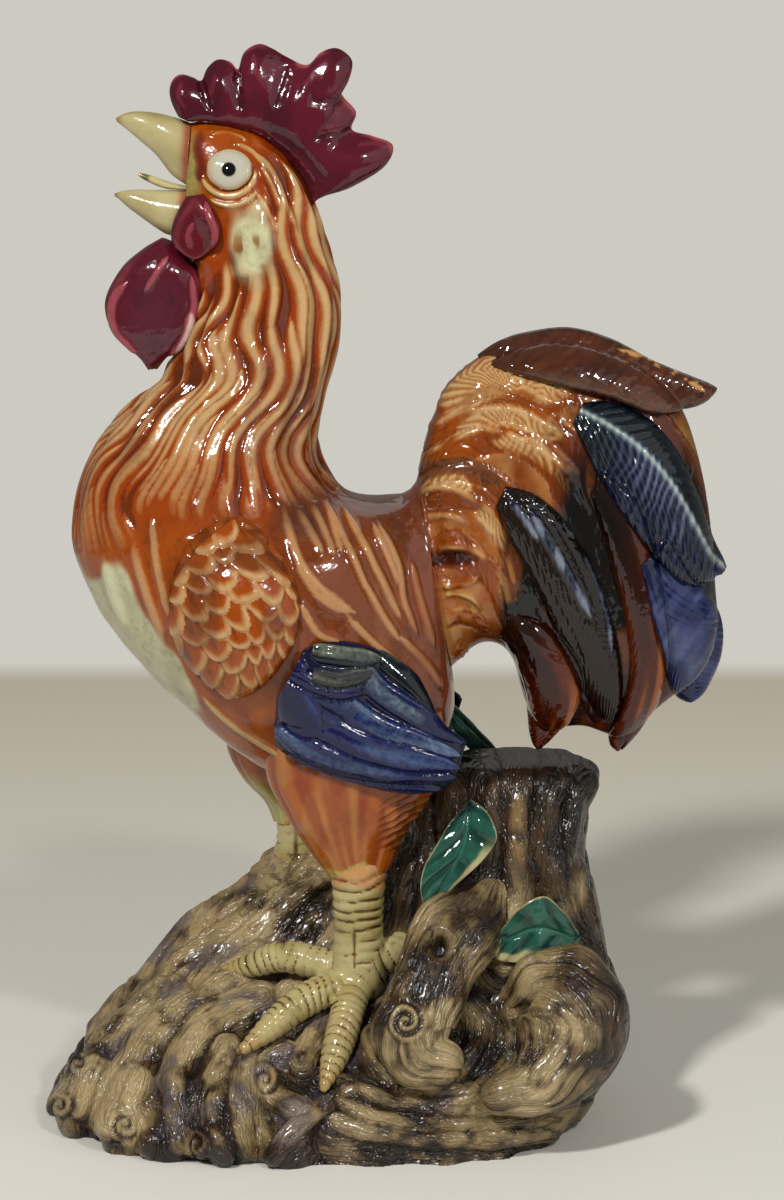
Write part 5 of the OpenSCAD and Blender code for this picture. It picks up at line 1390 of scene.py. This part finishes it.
def level_ring(numbers, count, share=1.0, hollow=0.0):
    """A level of the base, every second one of its sides drawn in as the solid's are."""
    around = closed(numbers, base_sides)
    c = around.mean(0)
    inward = share - hollow * (np.arange(base_sides) % 2)
    q = closed(c + (around - c) * inward[:, None], count)
    return np.stack([(q[:, 0] - centre_px) * step_l, q[:, 1] * base_w / 2, q[:, 2] * figure_h], -1)


def base_levels(levels, count):
    """The base's plan at so many even steps up its lowest levels."""
    stack = np.array([[[x, y, base_rise_shares[k]] for x, y in base_plan[k]] for k in range(levels)])
    return sampled(stack, count)


def make_base():
    """Mound, stump and rim roots in one bark skin, hollowed, vented and cut flat at its foot."""
    parts = [closed_grid(np.array([level_ring(r, 216, 1.0, root_hollow_share)
                                   for r in base_levels(len(base_plan), 110)]))]
    size = rim_root_share * figure_h / 2
    for x, y, s0, fx, s1 in rim_roots_px:
        top, low = spot((x, y), 0), spot((fx, foot_px), 0)
        a, b = np.array([top[0], s0 * base_w / 2, top[2]]), np.array([low[0], s1 * base_w / 2, size / 2])
        parts.append(tube([a, (a + b) / 2, b], [size, size * 1.02, size], 24, 16))
    co, faces, no = one_skin(parts, base_step, 5)
    pos, relief, ridge, groove, flow = bark_finish(co, no, 101, mound_layers)
    pos[:, 2] = np.where(co[:, 2] < foot_band, co[:, 2], np.maximum(pos[:, 2], 0.0))
    low = [level_ring(r, 90, cavity_share) for r in base_levels(cavity_levels, 24)]
    low = ([np.column_stack([low[0][:, :2], np.full(90, -wall)])]
           + [q - [0, 0, wall * k / 23] for k, q in enumerate(low)])
    sides = [np.array([[vent_x + d * vent_r, z] for z in (vent_low, vent_high)]) for d in (-1, 1)]
    vent = ring_grid((*sides, np.array([vent_r, vent_r])), 40)
    corners = slab_reach * np.array([(-1, -1), (1, -1), (1, 1), (-1, 1)])
    slab = np.array([[[x, y, z] for x, y in corners] for z in (-slab_deep, 0.0)])
    solids = [(pos, faces), *(closed_grid(np.array(q)) for q in (low, vent, slab))]
    lump, *cutters = [plain_mesh(f"skin_{k}", v, f) for k, (v, f) in enumerate(solids)]
    for cutter in cutters:
        step = lump.modifiers.new("hollow", "BOOLEAN")
        step.operation, step.solver, step.object = "DIFFERENCE", "EXACT", cutter
    xyz, faces, _ = taken(lump)
    for thing in cutters:
        bpy.data.objects.remove(thing)
    # Each point of the cut skin takes its glaze from the nearest point before the cuts; what was cut is raw clay
    tree = KDTree(len(pos))
    for k, q in enumerate(pos):
        tree.insert(q, k)
    tree.balance()
    found = np.array([tree.find(q)[1:] for q in xyz])
    index, raw = found[:, 0].astype(int), ease(found[:, 1], 0.5 * mm, 2 * mm)
    glazed("base", ["root_base"], "bark_glaze", xyz, faces, blend(ridge[index], tone("#c8b394"), raw),
           blend(groove[index], tone("#b09a7c"), raw), relief[index], bark, flow[index])


def make_root(name, node_name, route, seed):
    """A luted root: grain along its route, and on the knotted one a curled end and a knot hole."""
    line = np.array([spot(q[:2], q[2] * base_w / 2) for q in route])
    radii = [q[3] * root_w / 2 for q in route]
    co, faces, no = one_skin([tube(line, radii, 36, 70)], root_step, 5)
    fine = sampled(line, 40)
    at = on_routes(co, [fine])[1]
    run = running(fine)
    middle, way = (np.stack([np.interp(at, run, f[:, k]) for k in range(3)], -1)
                   for f in (fine, np.gradient(fine, axis=0)))
    rel = co - middle
    across = np.cross(way, [0, 1, 0])
    across /= np.linalg.norm(across, axis=1, keepdims=True)
    spin = np.arctan2((rel * across).sum(1), -rel[:, 1])
    p = side_view(co)
    flow = np.stack([at / (14 * mm), spin * 10 * mm / (2.6 * mm) + 1.6 * noise(co, 10 * mm, seed + 5),
                     0.5 * noise(co, 9 * mm, seed)], -1)
    wide = 1 - peak(noise(flow * (1, 0.8, 1), 1.0, seed + 3) - 0.5, 0.12)
    patches = noise(co, 11 * mm, seed + 6)
    rise = 0.6 * mm * (wide - 0.7) + 3.0 * mm * (noise(co, 12 * mm, seed + 2) - 0.5)
    relief = 0.52 + 0.4 * (wide - 0.5) + 0.7 * (patches - 0.5) + 0.5 * (noise(co, 4.5 * mm, seed + 8) - 0.48)
    hole = np.zeros(len(co))
    front = (no[:, 1] < 0).astype(float)
    if node_name == "knot_root":
        there, rings = coil(p + 6 * (noise(co, 6 * mm, seed + 7)[:, None] - 0.5), *coils[0])
        there = there * front
        rise = rise * (1 - there) + there * 1.2 * mm * (rings - 0.4)
        relief = relief * (1 - there) + there * rings
        r = np.hypot((p[:, 0] - knot_px[0]) / 11, (p[:, 1] - knot_px[1]) / 13)
        # The knot hole is sunk and coloured near-black: painted shade inside it.
        hole = front * (1 - ease(r, 0.55, 1.0))
        rise = rise * (1 - hole) - 5 * mm * hole + 1.1 * mm * front * peak(r - 1.5, 0.35)
    # Painted shade: the front of the round root is coloured darker towards its right side.
    ridge, groove = layered(relief.shape, ("#9e8c68", "#41301f"), [
        (ease(patches, 0.5, 0.72), "#b09e7a", "#54402a"), (ease(0.42 - patches, 0, 0.15), "#7f6a48", "#30231a"),
        (ease(p[:, 0], 588, 615) * front, "#54402c", "#21160f"), (hole, "#120c0a", "#120c0a")])
    glazed(name, [node_name], "bark_glaze", co + no * rise[:, None], faces, ridge, groove,
           np.clip(relief, 0, 1), bark, flow)


def make_leaf(name, node_name, table, cream_edge, cream_end):
    """A thin leaf pressed over the bark, green but for one cream edge and its cream end."""
    m, half = 110, 60
    rows = sampled(table, m)
    a = math.pi * np.arange(half + 1) / half
    c, h = (rows[:, 0:2] + rows[:, 2:4]) / 2, (rows[:, 0:2] - rows[:, 2:4]) / 2
    p = c[:, None] + h[:, None] * np.cos(a)[None, :, None]
    t, s = np.linspace(0, 1, m)[:, None] * np.ones(half + 1), np.cos(a)[None] * np.ones((m, 1))
    sign = 1 if rows[0, 4] > 0 else -1
    out = rows[:, 4:5] * base_w / 2 * np.ones(half + 1)
    vein = peak(s, 0.07)
    side = cycle(t * 4.2 - 0.8 * np.abs(s) + 0.15 * noise(p, 20.0, 142)) ** 3 * ease(np.abs(s), 0.03, 0.15)
    curl = np.abs(s) ** 3
    thick = leaf_t / 2 * np.sin(a)[None] ** 0.5
    front = (thick + 1.2 * mm * curl - 1.1 * mm * vein - 0.6 * mm * side
             + 1.4 * mm * (0.5 - np.abs(np.abs(s) - 0.5)))
    q = flat(p, out)
    top = np.stack([q[..., 0], -(out + sign * front), q[..., 1]], -1)
    back = np.stack([q[..., 0], -(out - sign * (thick - 0.8 * mm * curl)), q[..., 1]], -1)[:, ::-1]
    wander = 0.16 * (noise(p, 12.0, 143) - 0.5)
    cream = np.maximum.reduce([ease(s * cream_edge + wander, 0.55, 0.72) * ease(t, 0.3, 0.5),
                               ease(np.abs(s), 0.94, 1.0), ease(t + wander, cream_end, cream_end + 0.08)])
    ridge, groove = layered(t.shape, ("#3c7866", "#164236"), [
        (ease(noise(p, 16.0, 141), 0.45, 0.75), "#4c8672", "#184a3e"), (cream, "#b5ab7e", "#807a50")])
    relief = np.clip(0.5 + 0.3 * vein - 0.35 * side + 0.5 * cream, 0, 1)
    both = lambda v: np.concatenate([v, v[:, ::-1]], 1)
    glazed(name, [node_name], "leaf_glaze",
           *closed_grid(np.concatenate([top, back], 1), both(ridge), both(groove), both(relief)), leaf_green)


# The pieces
wing_out, tail_out, face_out = 0.45 * body_w, 0.25 * tail_w, 0.13 * body_w
make_body()
make_comb()
make_beak("upper_beak", "beak_upper", beak_upper_px, True)
make_beak("lower_beak", "beak_lower", beak_lower_px, False)
make_tongue()
make_tail()
coverts = table_form(covert_px, covert_t, wing_out)
rear_tip, lower_sickle, front_tip = (table_form(q, feather_t, tail_out)
                                     for q in (rear_tip_px, lower_sickle_px, front_tip_px))
tip = feather(lambda t: 0.0 * t, 3.2 * mm, 1.0, 0.1 * mm, paint_tip)
# What lies on a form, on both flanks: names, slot, table, the form, how thick, how far out, dress, glaze, the rest
flank_pieces = [
    ("eye_{}_glazed", "eye_{}", "white_glaze", eye_px, smooth_body, 0.45 * eye_t, face_out, eye_dress, white,
     {"size": (90, 70)}),
    ("cheek_{}", "cheek_lobe_{}", "burgundy_glaze", lobe_px, smooth_body, lobe_t, face_out, lobe_dress,
     burgundy, {"least": beak_w / 2 + seat_gap, "size": (80, 60), "edge": 0.6}),
    ("wattle_{}_glazed", "wattle_{}", "burgundy_glaze", wattle_seen, smooth_body, wattle_t, face_out,
     wattle_dress, burgundy, {"least": 0.1 * beak_w, "size": (110, 76), "edge": 0.6}),
    ("shoulder_{}", "wing_coverts_{}", "amber_glaze", covert_px, smooth_body, covert_t, wing_out, scale_dress,
     amber, {"size": (190, 126), "edge": 0.1}),
    ("flights_{}", "wing_flights_{}", "cobalt_glaze", flight_px, smooth_body, flight_t, wing_out, flight_dress,
     cobalt, {"least": leg_out + thigh_w / 2 + seat_gap, "below": [coverts], "size": (190, 120)}),
    ("top_feathers_{}", "top_sickle_{}", "brown_glaze", top_sickle_px, smooth_tail, feather_t, tail_out,
     feather(lambda t: -0.35 + 0.2 * t, 5 * mm, 1.2, 0.1 * mm, paint_top), brown,
     {"size": (190, 62), "edge": 0.1}),
    ("upper_feather_{}", "upper_sickle_{}", "cobalt_glaze", upper_sickle_px, smooth_tail, feather_t, tail_out,
     feather(lambda t: 0.3 + 0.25 * t, 2.6 * mm, 1.1, 0.32 * mm, paint_upper), cobalt,
     {"below": [rear_tip, lower_sickle], "size": (200, 76), "edge": 0.15}),
    ("lower_feather_{}", "lower_sickle_{}", "cobalt_glaze", lower_sickle_px, smooth_tail, feather_t, tail_out,
     feather(lambda t: -0.7 + 0.5 * t, 2.4 * mm, 1.2, 0.15 * mm, paint_lower), cobalt,
     {"below": [rear_tip], "size": (160, 70), "edge": 0.15}),
    ("middle_feather_{}", "mid_sickle_{}", "cobalt_glaze", mid_sickle_px, smooth_tail, feather_t, tail_out,
     feather(lambda t: 0.15 + 0.1 * t, 2.8 * mm, 1.1, 0.2 * mm, paint_mid), cobalt,
     {"below": [front_tip, rear_tip], "size": (200, 74), "edge": 0.08}),
    ("front_point_{}", "front_tip_{}", "brown_glaze", front_tip_px, smooth_tail, feather_t, tail_out, tip,
     brown, {"size": (130, 60), "edge": 0.15}),
    ("rear_point_{}", "rear_tip_{}", "brown_glaze", rear_tip_px, smooth_tail, feather_t, tail_out, tip, brown,
     {"size": (160, 66), "edge": 0.15})]
for hand in ("left", "right"):
    for name, node_name, *how, more in flank_pieces:
        blade(name.format(hand), [node_name.format(hand)], *how, right=hand == "right", **more)
make_thigh("thigh_near", "thigh_left", thigh_px, leg_out)
make_thigh("thigh_far", "thigh_right", far_thigh_px, -leg_out)
make_leg("leg_near", "leg_left", leg_out, near_leg_px, near_toes_px, near_knuckles_px)
make_leg("leg_far", "leg_right", -leg_out, far_leg_px, far_toes_seen, far_knuckles_seen)
make_base()
make_root("knotted_root", "knot_root", knot_root_px, 201)
make_root("round_root", "right_root", right_root_px, 231)
make_leaf("leaf_top", "leaf_upper", leaf_upper_px, 1, 1.1)
make_leaf("leaf_low", "leaf_lower", leaf_lower_px, 1, 0.8)
make_leaf("leaf_back", "leaf_rear", leaf_rear_px, 0, 1.1)


# Floor, light and camera
# The tabletop's ends, nearest and farthest, and the wall's tone
table_start, table_end, wall_tone = -0.42, 0.72, (*tone("#cdcac2"), 1)
bpy.ops.mesh.primitive_plane_add(size=1, location=(0, 0, 0))
floor = bpy.context.object
floor.name = "floor"
for corner in floor.data.vertices:
    corner.co = (6 * corner.co.x, table_end if corner.co.y > 0 else table_start, 0)
# Pale tabletop, greyer and browner towards its far end, which lies out of focus against the wall
paper = bpy.data.materials.new("pale_tabletop")
paper.use_nodes = True
tree = paper.node_tree
tree.nodes.clear()
where = node(tree, "ShaderNodeTexCoord", (-900, 0)).outputs["Object"]
away = node(tree, "ShaderNodeSeparateXYZ", (-700, 0), Vector=where).outputs["Y"]
share = node(tree, "ShaderNodeMapRange", (-500, 0), Value=away, From_Min=-0.3, From_Max=table_end).outputs[0]
colour = node(tree, "ShaderNodeValToRGB", (-300, 0),
              stops=[(0.0, tone("#e2e0d9")), (0.45, tone("#ebe7db")), (0.95, tone("#eae1cc"))],
              Fac=share).outputs["Color"]
matt = node(tree, "ShaderNodeBsdfPrincipled", (0, 0), Base_Color=colour, Roughness=0.7).outputs[0]
off_centre = node(tree, "ShaderNodeMath", (-700, -300), {"operation": "SUBTRACT"}, i0=away,
                  i1=(table_end + table_start) / 2).outputs[0]
reach = node(tree, "ShaderNodeMath", (-500, -300), {"operation": "ABSOLUTE"}, i0=off_centre).outputs[0]
half = (table_end - table_start) / 2
soft = node(tree, "ShaderNodeMapRange", (-300, -300), Value=reach, From_Min=half - 0.045,
            From_Max=half).outputs[0]
seen = node(tree, "ShaderNodeLightPath", (-500, -500)).outputs["Is Camera Ray"]
blurred = node(tree, "ShaderNodeMath", (-100, -300), {"operation": "MULTIPLY"}, i0=soft, i1=seen).outputs[0]
glow = node(tree, "ShaderNodeEmission", (0, -500), Color=wall_tone).outputs[0]
shown = node(tree, "ShaderNodeMixShader", (250, 0), i0=blurred, i1=matt, i2=glow).outputs[0]
node(tree, "ShaderNodeOutputMaterial", (500, 0), Surface=shown)
floor.data.materials.append(paper)

# The wall behind, as the camera sees it; the glaze is lit by a dimmer room
world = bpy.data.worlds.new("studio")
bpy.context.scene.world = world
world.use_nodes = True
tree = world.node_tree
tree.nodes.clear()
seen = node(tree, "ShaderNodeLightPath", (-400, 200)).outputs["Is Camera Ray"]
room = node(tree, "ShaderNodeBackground", (-400, 0), Color=(*tone("#d3d0c8"), 1), Strength=0.28).outputs[0]
wall_seen = node(tree, "ShaderNodeBackground", (-400, -200), Color=wall_tone, Strength=1.0).outputs[0]
shown = node(tree, "ShaderNodeMixShader", (0, 0), i0=seen, i1=room, i2=wall_seen).outputs[0]
node(tree, "ShaderNodeOutputWorld", (200, 0), Surface=shown)


# Lamps: place, the place they face, width and height, and watts
for name, at, facing, (wide, high), watts in (
        ("key", (-0.6, -1.2, 1.25), (0, 0, 0.16), (0.13, 0.15), 21),
        ("sparkle", (0.55, -1.1, 0.95), (0, 0, 0.16), (0.1, 0.1), 5.5),
        ("fill", (1.0, -0.8, 0.6), (0, 0, 0.15), (1.5, 1.5), 3.9),
        ("back", (0.2, 1.0, 0.9), (0, 0, 0.2), (0.9, 0.5), 0.7)):
    lamp = bpy.data.lights.new(name, "AREA")
    lamp.shape, lamp.size, lamp.size_y, lamp.energy = "RECTANGLE", wide, high, watts
    box = bpy.data.objects.new(name, lamp)
    bpy.context.scene.collection.objects.link(box)
    box.location = at
    box.rotation_euler = (Vector(facing) - Vector(at)).to_track_quat("-Z", "Y").to_euler()

lens = bpy.data.cameras.new("camera")
camera = bpy.data.objects.new("camera", lens)
bpy.context.scene.collection.objects.link(camera)
camera.location = (0.0, -eye_reach, eye_h)
aim = Vector((0.003, 0, 0.1568))
camera.rotation_euler = (aim - camera.location).to_track_quat("-Z", "Y").to_euler()
sensor_h, focal = 36, 123.3
lens.sensor_fit, lens.sensor_height, lens.lens = "VERTICAL", sensor_h, focal
lens.clip_start = 0.05
bpy.context.scene.camera = camera
bpy.context.scene.view_settings.view_transform = "Standard"
